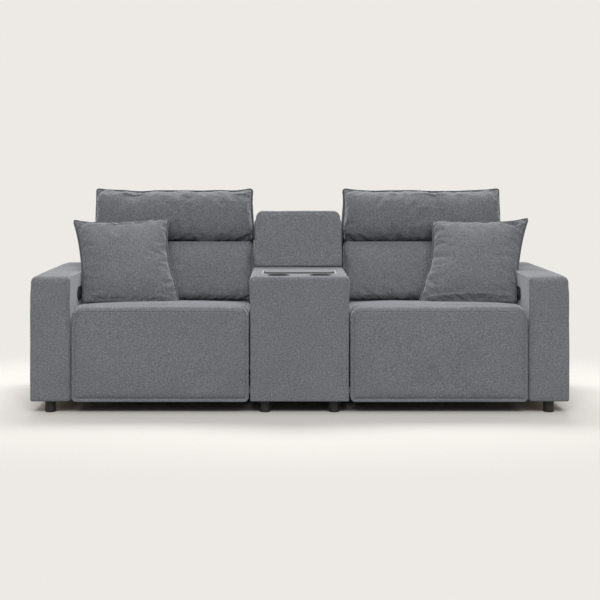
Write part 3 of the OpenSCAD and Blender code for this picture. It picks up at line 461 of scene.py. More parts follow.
def rounded(points, lo, hi, near, far):
    """Round a box's edges. near and far hold a radius in mm for each axis, plain or for each vertex."""
    near = np.broadcast_to(np.maximum(near, 1) * MM, points.shape)
    far = np.broadcast_to(np.maximum(far, 1) * MM, points.shape)
    core = np.clip(points, lo + near, hi - far)
    radius = np.where(points < core, near, far)
    n = (points - core) / radius
    size = np.linalg.norm(n, axis=1, keepdims=True)
    return np.where(size > 1e-9, core + radius * n / np.maximum(size, 1e-9), points)


def radii(x, y, z):
    """A radius row for each vertex, from arrays and plain numbers."""
    return np.stack(np.broadcast_arrays(x, y, z), 1)


def leaned(p, angle):
    """Lean points back about the x axis."""
    c, s = math.cos(angle), math.sin(angle)
    return np.stack([p[:, 0], p[:, 1] * c + p[:, 2] * s, -p[:, 1] * s + p[:, 2] * c], 1)


def groove(distance, depth=2.2, width=2.2):
    """How far a sewn line pulls the cloth in, at a distance from it. Depth and width are in mm."""
    return -depth * MM * np.exp(-(distance / (width * MM)) ** 2)


def puckers(points, distance, along, seed, depth, reach=30):
    """Small gathers beside a sewn line, depth and reach in mm; along squeezes them in its direction."""
    off = np.abs(distance)
    gathers = depth * MM * noise(points * np.array(along), 30 * MM, seed)
    return gathers * np.exp(-off / (reach * MM)) * (off > MM)


def relaxed(points, seed, big=1.3, small=0.45):
    """The slight unevenness of padded cloth, its depths in mm."""
    return big * MM * noise(points, 0.16, seed) + small * MM * noise(points, 0.045, seed + 5)


# ---- scene pieces

def meshed(name, points, faces):
    """A plain object from lists of points and faces."""
    data = bpy.data.meshes.new(name)
    data.from_pydata(points, [], faces)
    thing = bpy.data.objects.new(name, data)
    scene.collection.objects.link(thing)
    return thing


def add(name, points, faces, body, material, side=None, edge=None):
    """A finished mesh from arrays, riding on a body. A left piece is the mirror of what is passed. Faces from
    edge on, the welt, get the darker cloth as painted shade.
    """
    points = np.array(points, float)
    faces = [list(map(int, f)) for f in faces]
    if side == "left":
        points[:, 0] *= -1
        faces = [f[::-1] for f in faces]
    piece = meshed(name, points.tolist(), faces)
    data = piece.data
    data.materials.append(material)
    # painted shade: the welt faces get the darker cloth
    if edge is not None:
        data.materials.append(WELT_SHADE)
        for face in data.polygons[edge:]:
            face.material_index = 1
    data.shade_smooth()
    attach(piece, body)
    return piece


def corners(node):
    lo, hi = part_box(node)
    return np.array(lo), np.array(hi)


def cut(piece, points, faces):
    """Take a closed mesh away from a piece."""
    tool = meshed("cutter", np.asarray(points).tolist(), [list(map(int, f)) for f in faces])
    step = piece.modifiers.new("cut", "BOOLEAN")
    step.operation = "DIFFERENCE"
    step.solver = "EXACT"
    step.object = tool
    bpy.context.view_layer.update()
    done = bpy.data.meshes.new_from_object(piece.evaluated_get(bpy.context.evaluated_depsgraph_get()))
    piece.modifiers.clear()
    old = piece.data
    done.name = old.name + "_cut"
    piece.data = done
    bpy.data.meshes.remove(old)
    bpy.data.meshes.remove(tool.data)
    piece.data.shade_smooth()
    piece.data.set_sharp_from_angle(angle=math.radians(38))


def column(outline, z0, z1):
    """A closed prism over a plan outline."""
    n = len(outline)
    low = [(x, y, z0) for x, y in outline]
    high = [(x, y, z1) for x, y in outline]
    faces = [[k, (k + 1) % n, n + (k + 1) % n, n + k] for k in range(n)]
    return low + high, faces + [list(range(n))[::-1], list(range(n, 2 * n))]


def circle(x, y, r, n=72):
    return [(x + r * math.cos(2 * math.pi * k / n), y + r * math.sin(2 * math.pi * k / n)) for k in range(n)]


def round_rect(x0, x1, y0, y1, r, n=12):
    out = []
    x0, x1, y0, y1 = x0 + r, x1 - r, y0 + r, y1 - r
    for cx, cy, start in ((x1, y1, 0), (x0, y1, 90), (x0, y0, 180), (x1, y0, 270)):
        for k in range(n + 1):
            a = math.radians(start + 90 * k / n)
            out.append((cx + r * math.cos(a), cy + r * math.sin(a)))
    return out


def block(x, y, z):
    """A closed plain box, for cutting."""
    return box_grid(np.array(x), np.array(y), np.array(z))


# ---- arms

def arm(side, seed):
    lo, hi = corners("right_arm_cover")
    lo[2] += 0.4 * MM
    seam = lo[0] + 12 * MM
    back_seam = hi[1] - 16 * MM
    p, f, flat = box_form(lo, hi, ((9,), (10, 30), 11, [seam]),
                          ((10, 24), (12,), 13, [back_seam]), ((6,), (9, 24, 30), 13))
    fx, fy, fz = flat.T
    high = rise(fz, hi[2], -90, -30)
    outer = rise(fx, hi[0], -80, -30)
    inner = 1 - rise(fx, lo[0], 10, 40)
    front = 1 - rise(fy, lo[1], 24, 70)
    top_r = 18 + 12 * front
    top_r = top_r + (30 - top_r) * outer
    top_r = top_r + (9 + 9 * front - top_r) * inner
    near = radii(9 + 9 * front, 12 + 18 * high, 9)
    far = radii(10 + 20 * high, 12, top_r)
    p = rounded(p, lo, hi, near, far)
    side_face = fx <= lo[0] + SKIN
    d = np.where(side_face, 1.0, fx - seam)
    d_back = fy - back_seam
    under = rise(fz, lo[2], 2, 12)
    move = groove(d) * under + groove(d_back) * under
    move += puckers(flat, d, (1, 1, 1), seed, 0.5)
    move += relaxed(flat, seed) * under
    crown = smooth(fy, lo[1], lo[1] + 0.15) * smooth(-fy, -hi[1], -hi[1] + 0.15)
    across = np.clip(1 - centred(fx, lo[0], hi[0]) ** 2, 0, 1)
    move += 2.0 * MM * crown * across * (fz > hi[2] - SKIN)
    inside = (fx < lo[0] + 30 * MM) & (fz < hi[2] - 12 * MM) & (fy > lo[1] + 12 * MM)
    move = np.where(inside, np.minimum(move, 0), move)
    piece = add(f"{side}_arm_upholstery", push(p, f, move), f, "base", CLOTH, side=side)
    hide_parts(f"{side}_arm_cover")


for seed, side in enumerate(SIDES):
    arm(side, 11 + 20 * seed)


# ---- console

def console_front():
    lo, hi = corners("console_deck")
    body_lo, _ = corners("console_cover")
    lo[2] = body_lo[2] + 0.4 * MM
    wide = hi[0]
    narrow = abs(body_lo[0])
    edge = 12 * MM
    p, f, flat = box_form(lo, hi, ((10, 26), (10, 26), 11, [lo[0] + edge, hi[0] - edge]),
                          ((10, 22), (6,), 12), ((6,), (12, 26), 13))
    fx, fy, fz = flat.T
    high = rise(fz, hi[2], -80, -26)
    side_near = rise(np.abs(fx), wide, -70, -20)
    near = radii(8 + 16 * high, 9 + 11 * high, 6)
    far = radii(8 + 16 * high, 5, 18 + 6 * side_near)
    p = rounded(p, lo, hi, near, far)
    waist = smooth(fz, hi[2] - 0.13, hi[2] - 0.02)
    p[:, 0] *= (narrow + (wide - narrow) * waist) / wide
    on_front = fy <= lo[1] + SKIN
    d = np.where(on_front & (fz < hi[2] - 30 * MM), np.abs(fx) - (wide - edge), 1.0)
    under = rise(fz, lo[2], 2, 12)
    move = groove(d, 1.3, 2.0) * under + relaxed(flat, 71) * under
    top = (fz > hi[2] - SKIN) & (fy > lo[1] + 25 * MM)
    move = np.where(top, np.minimum(move, 0) - 0.4 * MM, move)
    flank = (np.abs(fx) > wide - SKIN) & (fy > lo[1] + 10 * MM)
    move = np.where(flank, np.minimum(move, 0.3 * MM), move)
    piece = add("console_upholstery", push(p, f, move), f, "base", CLOTH)
    for cup in SIDES:
        a, b = corners(f"{cup}_cup_holder")
        x, y = (a[0] + b[0]) / 2, (a[1] + b[1]) / 2
        cut(piece, *column(circle(x, y, (b[0] - a[0]) / 2 - 5 * MM), a[2] - 4 * MM, hi[2] + 0.05))
    a, b = corners("storage_tray")
    pad = 5 * MM
    well = round_rect(a[0] + pad, b[0] - pad, a[1] + pad, b[1] - pad, 22 * MM)
    cut(piece, *column(well, a[2] - 4 * MM, hi[2] + 0.05))
    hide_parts("console_cover", "console_deck")


def console_rear():
    lo, hi = corners("console_cover")
    deck = corners("console_deck")[1]
    lo = np.array([lo[0], deck[1] - 4 * MM, lo[2] + 0.4 * MM])
    hi = np.array([hi[0], hi[1] + 2.8 * MM, hi[2]])
    seam = 14 * MM
    p, f, flat = box_form(lo, hi, ((8,), (8,), 14, [lo[0] + seam, hi[0] - seam]),
                          ((4,), (8,), 15), ((6,), (8,), 14))
    fx, fy, _ = flat.T
    p = rounded(p, lo, hi, (8, 3, 6), (8, 5, 1.5))
    on_back = fy >= hi[1] - SKIN
    d = np.where(on_back, np.abs(fx) - (hi[0] - seam), 1.0)
    move = groove(d, 1.6) + np.minimum(relaxed(flat, 83), 0)
    p = push(p, f, np.where(on_back, np.maximum(move, -1.9 * MM), move))
    piece = add("console_rear_upholstery", p, f, "base", CLOTH)
    a, b = corners("power_inlet")
    rim = 2 * MM
    cut(piece, *block([a[0] + rim, b[0] - rim], [hi[1] - 0.1, hi[1] + 0.05], [a[2] + rim, b[2] - rim]))
    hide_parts("console_cover")


def back_cover():
    lo, hi = corners("console_back_cover")
    lean = 30 * MM
    lo[0], hi[0] = lo[0] - 7 * MM, hi[0] + 7 * MM
    hi[1] -= lean
    lo[2] -= 1 * MM
    seam = 26 * MM
    p, f, flat = box_form(lo, hi, ((10, 22), (10, 22), 14, [lo[0] + seam, hi[0] - seam]),
                          ((10, 30), (10, 30), 14), ((4,), (30, 12), 13))
    fx, _, fz = flat.T
    high = rise(fz, hi[2], -70, -30)
    r = 10 + 14 * high
    deep = 10 + 18 * high
    p = rounded(p, lo, hi, radii(r, deep, 3), radii(r, deep, 26))
    d = np.where(np.abs(fx) < hi[0] - 1 * MM, np.abs(fx) - (hi[0] - seam), 1.0)
    move = groove(d) + relaxed(flat, 97)
    move = np.where(fz > lo[2] + 5 * MM, np.minimum(move, 0.5 * MM), 0)
    p = push(p, f, move)
    p[:, 1] += lean * np.clip((p[:, 2] - lo[2]) / (hi[2] - lo[2]), 0, 1)
    piece = add("console_back_upholstery", p, f, "base", CLOTH)
    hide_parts("console_back_cover")


BLOCK_HINGE = np.array([0, 0.082, 0.625])
BLOCK_LEAN = math.radians(6.5)


def drop_block():
    lo = np.array([-0.2125, 0.070, 0.613])
    hi = np.array([0.2125, 0.180, 0.888])
    rim = 24 * MM
    p, f, flat = box_form(lo, hi, ((10, 36), (10, 36), 12, [lo[0] + rim, hi[0] - rim]),
                          ((12, 30), (12, 30), 10), ((12, 20), (36, 20), 11))
    fx, fy, fz = flat.T
    high = rise(fz, hi[2], -80, -34)
    low = 1 - rise(fz, lo[2], 10, 50)
    side_near = rise(np.abs(fx), hi[0], -90, -34)
    r = 9 + 26 * high + 9 * low
    top = 27 + 9 * side_near
    foot = 9 + 9 * side_near
    deep = 11 + 13 * high
    p = rounded(p, lo, hi, radii(r, deep, foot), radii(r, deep, top))
    p[:, 0] *= 1 - 0.030 * smooth(fz, lo[2] + 20 * MM, hi[2])
    middle = (1 - (fx / hi[0]) ** 4) * hump(fz, lo[2], hi[2], 0.6)
    face = fy <= lo[1] + SKIN
    rear = fy >= hi[1] - SKIN
    d = np.where(rear, np.abs(fx) - (hi[0] - rim), 1.0)
    move = groove(d, 2.0, 2.4) + relaxed(flat, 113, 1.2)
    move += np.where(face, 4.0 * MM, 0) * (middle - 1) * rise(fz, lo[2], 15, 75)
    move = np.where(face, np.clip(move, -4 * MM, -0.4 * MM), move)
    move = np.where(face & (fz < lo[2] + 45 * MM), -0.4 * MM, move)
    move = np.where((~face) & (fz < hi[2] - 40 * MM), np.minimum(move, 0.4 * MM), move)
    p = leaned(push(p, f, move) - BLOCK_HINGE, BLOCK_LEAN) + BLOCK_HINGE
    p[:, 2] = np.maximum(p[:, 2], DECK_TOP)
    piece = add("drop_block_upholstery", p, f, "console_block", CLOTH)
    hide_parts("block_cover")


console_front()
console_rear()
back_cover()
drop_block()


# ---- seats

def corner_rings(u, w, lo_u, hi_u, lo_w, hi_w, near, top_u, top_w):
    """Round a face-on outline: bottom corners by near, top corners by an ellipse, all in mm."""
    low = w < (lo_w + hi_w) / 2
    ru = np.where(low, near, top_u) * MM
    rw = np.where(low, near, top_w) * MM
    qu = np.clip(u, lo_u + ru, hi_u - ru)
    qw = np.clip(w, lo_w + rw, hi_w - rw)
    nu, nw = (u - qu) / ru, (w - qw) / rw
    size = np.hypot(nu, nw)
    big = np.maximum(np.abs(nu), np.abs(nw))
    keep = size > 1e-9
    scale = np.where(keep, big / np.maximum(size, 1e-9), 0)
    return np.where(keep, qu + ru * nu * scale, u), np.where(keep, qw + rw * nw * scale, w)


def seat_front(side, seed):
    lo, hi = corners("right_footrest_pad")
    lo[0] += 1.0 * MM
    hi[0] -= 1.0 * MM
    hi[1] = -0.4530  # it ends at the seat cushion
    hi[2] = 0.479
    welt = 13.5 * MM
    seams = (0.4545, 0.466)  # heights of two sewn lines across
    p, f, flat = box_form(lo, hi, ((3, 33), (3, 33), 12, [lo[0] + welt, hi[0] - welt]),
                          ((4, 40), (3,), 9), ((3,), (24, 71), 12, [lo[2] + welt, *seams]))
    fx, fy, fz = flat.T
    dx = np.minimum(fx - lo[0], hi[0] - fx)
    dz = fz - lo[2]
    d = np.minimum(dx, dz)
    # the top edge turns softly, the welted sides and bottom are square
    turn = 38 * rise(fz, hi[2], -60, -20)
    p = rounded(p, lo, hi, radii(2.5, turn + 2, 2.5), (2.5, 2.5, 24))
    p[:, 0], p[:, 2] = corner_rings(p[:, 0], p[:, 2], lo[0], hi[0], lo[2], hi[2], 20, 52, 62)
    face = fy <= lo[1] + SKIN
    full = rise(d, welt, -1, 26) ** 0.6
    set_back = 6.5 * MM * (1 - full) * (1 - smooth(fz, hi[2] - 30 * MM, hi[2]) * 0.5)
    set_back = set_back + 3.4 * MM * np.exp(-((d - welt) / (2.4 * MM)) ** 2)
    for seam in seams:
        line = np.abs(fz - seam) + 40 * MM * (dx < 46 * MM)
        set_back = set_back + 2.2 * MM * np.exp(-(line / (2.0 * MM)) ** 2)
    p[:, 1] += np.where(face, set_back, 0)
    ripple = puckers(flat, d - welt, (0.6, 1, 0.6), seed, 1.0, 45) * (d > welt)
    bulge = 2.2 * MM * hump(fx, lo[0], hi[0], 0.7) * hump(fz, lo[2], hi[2], 0.7)
    uneven = relaxed(flat, seed + 3, 1.5, 0.5) * (d > 3 * MM)
    p[:, 1] -= np.where(face, ripple + uneven + bulge * full, 0)
    piece = add(f"{side}_seat_front", p, f, f"{side}_footrest", CLOTH, side=side)
    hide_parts(f"{side}_footrest_pad")


def seat_cushion(side, seed):
    lo, hi = corners("right_seat_cushion")
    lo[0] += 0.8 * MM
    hi[0] -= 0.8 * MM
    lo[1] = -0.4512  # it starts behind the seat front
    hi[2] = 0.4655
    crown = 13 * MM
    edge_seam = 26 * MM
    p, f, flat = box_form(lo, hi, ((12, 33), (12, 33), 13, [lo[0] + edge_seam, hi[0] - edge_seam]),
                          ((14, 26), (26,), 13), ((8,), (26, 40), 11))
    fx, fy, fz = flat.T
    p = rounded(p, lo, hi, (30, 16, 8), (30, 26, 34))
    top = smooth(fz, lo[2] + 60 * MM, hi[2])
    u = np.clip(np.abs(centred(fx, lo[0], hi[0])), 0, 1)
    v = np.clip(np.abs(centred(fy, lo[1], hi[1])), 0, 1)
    p[:, 2] += crown * top * ((1 - u ** 3.2) * (1 - 0.62 * v ** 3.5) - 1)
    # the crown rises behind the front edge and falls to the rear
    slope = np.interp(fy - lo[1], [0, 0.025, 0.055, 0.10, 0.17, 0.555],
                      [0.4745, 0.4850, 0.4885, 0.4850, 0.4755, 0.4530])
    p[:, 2] += top * (slope - hi[2])
    on_top = fz > hi[2] - SKIN
    d = np.where(on_top, np.minimum(fx - lo[0], hi[0] - fx) - edge_seam, 1.0)
    move = groove(d, 2.6, 2.6)
    move += puckers(flat, d, (1, 0.5, 1), seed, 1.1, 50)
    move += np.where(on_top, relaxed(flat, seed + 9, 2.2, 0.7) * (1 - 0.7 * v ** 6), 0)
    move = np.where(fz < hi[2] - 40 * MM, np.minimum(move, 0), move)
    piece = add(f"{side}_seat_pad", push(p, f, move), f, f"{side}_carriage", CLOTH, side=side)
    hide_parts(f"{side}_seat_cushion")


for seed, side in enumerate(SIDES):
    seat_front(side, 131 + 40 * seed)
    seat_cushion(side, 151 + 40 * seed)


# ---- stuffed, welted forms

def spaced(count, power):
    """Numbers from -1 to 1, closer together towards the ends."""
    t = np.linspace(-1, 1, count)
    return (1 - power) * t + power * np.sin(t * math.pi / 2)


def rim_grid(across, up, half_w, half_h, corner, power=0.62):
    """A face-on sheet with rounded corners: u and v from -1 to 1, x and z, and the distance from the rim."""
    u, v = np.meshgrid(spaced(across, power), spaced(up, power), indexing="ij")
    x, z = corner_rings(half_w * u, half_h * v, -half_w, half_w, -half_h, half_h, *corner)
    return u, v, x, z, np.minimum((1 - np.abs(u)) * half_w, (1 - np.abs(v)) * half_h)


def ring_of(index):
    """Boundary vertices of an index grid: bottom, right, top, left."""
    return np.concatenate([index[:-1, 0], index[-1, :-1], index[:0:-1, -1], index[0, :0:-1]])


def welted(front, back, welt=9 * MM):
    """Join two sheets of points, each (n, m, 3) with y forward-negative, by a sewn welt round their rims."""
    n, m, _ = front.shape
    thick = 4 * MM
    index = np.arange(n * m).reshape(n, m)
    faces = [grid_quads(index), grid_quads(index + n * m)[:, ::-1]]
    points = [front.reshape(-1, 3), back.reshape(-1, 3)]
    a, b = ring_of(index), ring_of(index) + n * m
    whole = np.concatenate(points)
    rim = (whole[a] + whole[b]) / 2
    ahead = np.roll(rim, -1, 0) - rim
    behind = rim - np.roll(rim, 1, 0)
    def outward(edge):
        o = np.stack([edge[:, 2], np.zeros(len(edge)), -edge[:, 0]], 1)
        return o / np.maximum(np.linalg.norm(o, axis=1, keepdims=True), 1e-9)
    o1, o2 = outward(ahead), outward(behind)
    out = (o1 + o2) / np.maximum((1 + np.sum(o1 * o2, 1))[:, None], 0.45)
    count = len(a)
    start = 2 * n * m
    layers = [a]
    for reach, y in ((0.4 * MM, -thick / 2), (welt * 0.55, -thick / 2), (welt * 0.9, -thick * 0.4), (welt, 0),
                     (welt * 0.9, thick * 0.4), (welt * 0.55, thick / 2), (0.4 * MM, thick / 2)):
        points.append(rim + out * reach + np.array([0, y, 0]))
        layers.append(np.arange(start, start + count))
        start += count
    layers.append(b)
    for first, second in zip(layers[:-1], layers[1:]):
        nf, ns = np.roll(first, -1), np.roll(second, -1)
        faces.append(np.stack([first, second, ns, nf], 1))
    return np.concatenate(points), np.concatenate(faces)


def soften(sheet, width):
    """Blur an array over its grid."""
    kernel = np.hanning(2 * width + 3)[1:-1]
    kernel /= kernel.sum()
    for axis in (0, 1):
        pad = [(width, width) if k == axis else (0, 0) for k in range(sheet.ndim)]
        wide = np.pad(sheet, pad, mode="edge")
        sheet = sum(k * np.take(wide, range(i, i + sheet.shape[axis]), axis) for i, k in enumerate(kernel))
    return sheet


def settled(front, back, spare=0.045):
    """Let a stuffed cover find its wrinkles: cloth cut a little large, held round its rim and swelled.

    The swelling itself is taken out again, so only the wrinkles stay, and no point moves past the limit.
    """
    frames, limit = 20, 9 * MM
    n, m, _ = front.shape
    ahead = np.arange(n * m).reshape(n, m)
    behind = ahead.copy()
    inner = np.zeros((n, m), bool)
    inner[1:-1, 1:-1] = True
    behind[inner] = n * m + np.arange(inner.sum())
    points = np.concatenate([front.reshape(-1, 3), back[inner]])
    faces = np.concatenate([grid_quads(ahead), grid_quads(behind)[:, ::-1]])
    cover = meshed("cover", points.tolist(), faces.tolist())
    rim = cover.vertex_groups.new(name="rim")
    rim.add([int(i) for i in ring_of(ahead)], 1.0, "REPLACE")
    cloth = cover.modifiers.new("cloth", "CLOTH")
    rules = cloth.settings
    rules.quality = 5
    rules.mass = 0.05
    rules.tension_stiffness = rules.compression_stiffness = 12
    rules.shear_stiffness = 4
    rules.bending_stiffness = 0.25
    rules.air_damping = 1.5
    rules.vertex_group_mass = "rim"
    rules.shrink_min = -spare
    rules.use_pressure = True
    rules.uniform_pressure_force = 1.5
    rules.effector_weights.gravity = 0
    cloth.collision_settings.use_collision = False
    cloth.point_cache.frame_start = 1
    cloth.point_cache.frame_end = frames
    for at in range(1, frames + 1):
        scene.frame_set(at)
    done = cover.evaluated_get(bpy.context.evaluated_depsgraph_get())
    flat = np.empty(len(points) * 3, np.float32)
    done.data.vertices.foreach_get("co", flat)
    moved = flat.reshape(-1, 3).astype(float)
    scene.frame_set(1)
    bpy.data.meshes.remove(cover.data)
    out = []
    for index, was in ((ahead, front), (behind, back)):
        shift = moved[index] - was
        shift -= soften(shift, 9)
        edge = np.minimum(np.minimum(np.arange(n), np.arange(n)[::-1])[:, None],
                          np.minimum(np.arange(m), np.arange(m)[::-1])[None, :])
        shift *= smooth(edge, 0, 2)[..., None]
        size = np.linalg.norm(shift, axis=-1, keepdims=True)
        out.append(was + shift * (limit * np.tanh(size / limit) / np.maximum(size, 1e-9)))
    return out[0], out[1]


def lean_back(p):
    """Place a form drawn on the upright back: y forward-negative, z up, from the recline hinge."""
    return leaned(p, BACK_LEAN) + np.array([0, *BACK_FOOT])


def curve(value, stops):
    """Smooth curve through (at, height) stops."""
    at, height = zip(*stops)
    x = np.asarray(value)
    fine = np.linspace(at[0], at[-1], 400)
    rough = np.interp(fine, at, height)
    kernel = np.hanning(31)
    kernel /= kernel.sum()
    padded_rough = np.concatenate([np.full(15, rough[0]), rough, np.full(15, rough[-1])])
    soft = np.convolve(padded_rough, kernel, "valid")
    edge = np.clip(np.minimum(x - at[0], at[-1] - x) / 0.07, 0, 1)
    return np.interp(x, fine, soft) * edge + np.interp(x, at, height) * (1 - edge)


HEAD_PROFILE = [(-1, 0), (-0.97, 0.36), (-0.9, 0.60), (-0.75, 0.84), (-0.5, 0.97), (-0.2, 1.0), (0.2, 0.97),
                (0.5, 0.88), (0.75, 0.71), (0.9, 0.49), (0.97, 0.28), (1, 0)]
LUMBAR_PROFILE = [(-1, 0), (-0.96, 0.45), (-0.85, 0.80), (-0.6, 0.96), (0, 1.0), (0.5, 0.95), (0.8, 0.74),
                  (0.94, 0.42), (1, 0)]


def side_profile(u, power=9.0, root=0.42):
    return np.clip(1 - np.abs(u) ** power, 0, 1) ** root


def flat_noise(x, size, seed):
    """Noise along one array only."""
    q = np.zeros((x.size, 3))
    q[:, 0] = x.ravel()
    return noise(q, size, seed).reshape(x.shape)


def field(x, z, size, seed, stretch=(1, 1, 1)):
    """Noise over a sheet's x and z."""
    where = np.stack([x.ravel(), np.zeros(x.size), z.ravel()], 1)
    return noise(where * np.array(stretch), size, seed).reshape(x.shape)


def by_rim(distance, start=0.006, reach=0.035):
    """Where a sheet gathers: beside its welt, less and less further in."""
    return np.exp(-distance / reach) * smooth(distance, 0, start)


def folds(x, down, seed, width, height):
    """Folds of spare cloth along a welt. down is the distance from it; width and height are in mm."""
    width, height = width * MM, height * MM
    wander = 20 * MM + 5 * MM * flat_noise(x, 0.12, seed)
    there = np.clip(0.15 + 1.6 * flat_noise(x, 0.15, seed + 1), 0, 1)
    ridge = np.exp(-((down - wander) / width) ** 2)
    above = np.exp(-((down - wander + 1.7 * width) / width) ** 2)
    below = np.exp(-((down - wander - 2.4 * width) / (1.6 * width)) ** 2)
    return there * (height * ridge - 0.5 * height * above - 0.45 * height * below)


def headrest(side, seed):
    z0, z1 = 0.324, 0.5965
    rim_y = -0.1048
    front_rise, back_rise = 0.110, 0.092
    half_h = (z1 - z0) / 2
    u, v, x, z, rim_d = rim_grid(109, 57, CUSHION_HALF, half_h, (26, 15, 15))
    high = smooth(v, -0.2, 1.0)
    # the sides flare out at the foot, and the outer one reaches a little further
    flare = np.interp(v, [-1, -0.55, 0, 0.5, 0.8, 1], [8, 7, 2, -2.5, -1.5, 2.5]) * MM
    outer = np.interp(v, [-1, -0.3, 0.4, 1], [1, 3, 4, 4]) * MM
    x = SEAT_MID + x + np.where(u > 0, flare + outer, -flare) * np.abs(u) ** 3
    z = (z0 + z1) / 2 + z
    # the top edge dips and waves between its corners, and the bottom edge waves
    z = z - (0.0145 + 0.003 * flat_noise(x, 0.3, seed + 9)) * (1 - np.abs(u) ** 5) * high
    z = z + 0.0035 * flat_noise(x, 0.10, seed + 1) * high * (1 - u ** 6)
    z = z + 0.008 * flat_noise(x, 0.17, seed + 2) * (1 - smooth(v, -1, -0.4)) * (1 - u ** 8)
    f_shape = curve(v, HEAD_PROFILE) * side_profile(u)
    fold = folds(x, (1 - v) * half_h, seed + 3, 6.5, 12) * (np.abs(u) < 0.93)
    gather = 1.7 * MM * field(x, z, 0.022, seed + 6, (1.0, 1, 0.3)) * by_rim(rim_d)
    crease = 3.5 * MM * np.exp(-((v + 0.80) / 0.10) ** 2) * field(x, z, 0.07, seed + 12, (1, 1, 0.4))
    uneven = 3.4 * MM * field(x, z, 0.13, seed + 7) + 1.0 * MM * field(x, z, 0.045, seed + 8)
    uneven = uneven * smooth(rim_d, 0, 0.03)
    front = np.stack([x, rim_y - 2 * MM - front_rise * f_shape - fold - gather - uneven - crease, z], -1)
    b_shape = np.clip(1 - np.abs(v) ** 5, 0, 1) ** 0.3 * side_profile(u, 12, 0.3)
    back = np.stack([x, rim_y + 2 * MM + (back_rise - 4 * MM) * b_shape, z], -1)
    front, back = settled(front, back)
    p, f = welted(front, back)
    past = 4 * MM * np.tanh((p[:, 0] - ARM_CLEAR) / (4 * MM))
    p[:, 0] = np.where(p[:, 0] > ARM_CLEAR, ARM_CLEAR + past, p[:, 0])
    piece = add(f"{side}_headrest_pillow", lean_back(p), f, f"{side}_headrest", SHADED_CLOTH, side=side,
                edge=2 * (u.shape[0] - 1) * (u.shape[1] - 1))
    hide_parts(f"{side}_headrest_cushion")


def lumbar(side, seed):
    z0, z1 = 0.030, 0.316
    rim_y = -0.1563
    front_rise = 0.058
    u, v, x, z, rim_d = rim_grid(109, 57, CUSHION_HALF, (z1 - z0) / 2, (12, 14, 14))
    x = SEAT_MID + x + 4.5 * MM * u * np.abs(u) ** 3 * np.interp(v, [-1, -0.5, 0.6, 1], [0.4, 1, 1, 0.6])
    z = (z0 + z1) / 2 + z
    shape = curve(v, LUMBAR_PROFILE) * side_profile(u, 10, 0.40)
    gather = 1.4 * MM * field(x, z, 0.024, seed + 6, (0.4, 1, 1.0)) * by_rim(rim_d)
    uneven = 2.6 * MM * field(x, z, 0.14, seed + 7) + 0.9 * MM * field(x, z, 0.05, seed + 8)
    uneven = uneven * smooth(rim_d, 0, 0.03)
    front = np.stack([x, rim_y - 2 * MM - front_rise * shape - gather - uneven, z], -1)
    b_shape = np.clip(1 - np.abs(v) ** 14, 0, 1) ** 0.2 * np.clip(1 - np.abs(u) ** 24, 0, 1) ** 0.2
    back = np.stack([x, rim_y + 2 * MM + (-0.0015 - rim_y - 2 * MM) * b_shape, z], -1)
    front, _ = settled(front, back, 0.03)
    p, f = welted(front, back, 8 * MM)
    piece = add(f"{side}_lumbar_pillow", lean_back(p), f, f"{side}_back", CLOTH, side=side)
    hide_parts(f"{side}_lumbar_cushion")


def back_shell(side, seed):
    lo = np.array([0.2242, 0.0, -0.046])
    hi = np.array([1.0168, 0.081, 0.594])
    seam = 18 * MM
    p, f, flat = box_form(lo, hi, ((8, 24), (8, 24), 14, [lo[0] + seam, hi[0] - seam]),
                          ((6,), (8, 24), 10), ((10,), (12, 30), 14))
    fx, fy, _ = flat.T
    p = rounded(p, lo, hi, (6, 5, 8), (6, 20, 24))
    p[:, 0], p[:, 2] = corner_rings(p[:, 0], p[:, 2], lo[0], hi[0], lo[2], hi[2], 8, 24, 24)
    p[:, 0] -= (p[:, 0] - SEAT_MID) * 0.030 * smooth(p[:, 2], 0.43, 0.60)
    rear = fy >= hi[1] - SKIN
    d = np.where(rear, np.minimum(fx - lo[0], hi[0] - fx) - seam, 1.0)
    move = groove(d) + puckers(flat, d, (1, 1, 0.5), seed, 0.7)
    move += np.where(rear, relaxed(flat, seed + 1, 2.0, 0.6), 0)
    move = np.where(rear, move, np.minimum(move, 0))
    p = push(p, f, move)
    piece = add(f"{side}_back_upholstery", lean_back(p), f, f"{side}_back", CLOTH, side=side)
    sign = -1 if side == "left" else 1
    hollow_x = sorted([sign * (0.226 + 0.0335), sign * (1.016 - 0.0335)])
    for x, y, z in ((hollow_x, [-0.02, 0.066], [-0.08, 0.560]),
                    (sorted([sign * 0.2, sign * 1.04]), [-0.02, 0.066], [-0.08, 0.072])):
        q, g = block(x, y, z)
        cut(piece, lean_back(q), g)
    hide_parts(f"{side}_back_shell")


for seed, side in enumerate(SIDES):
    headrest(side, 211 + 60 * seed)
    lumbar(side, 231 + 60 * seed)
    back_shell(side, 251 + 60 * seed)


# ---- throw pillows

PILLOW = 0.450  # a side of the square
PILLOW_AT = np.array([1.022 - 0.2043, -0.5 + 0.443, 0.612 + 0.0466])  # middle of the right one
PILLOW_TURN = (Matrix.Rotation(math.radians(-37), 3, "X") @ Matrix.Rotation(math.radians(-10), 3, "Z")
               @ Matrix.Rotation(math.radians(9), 3, "Y"))


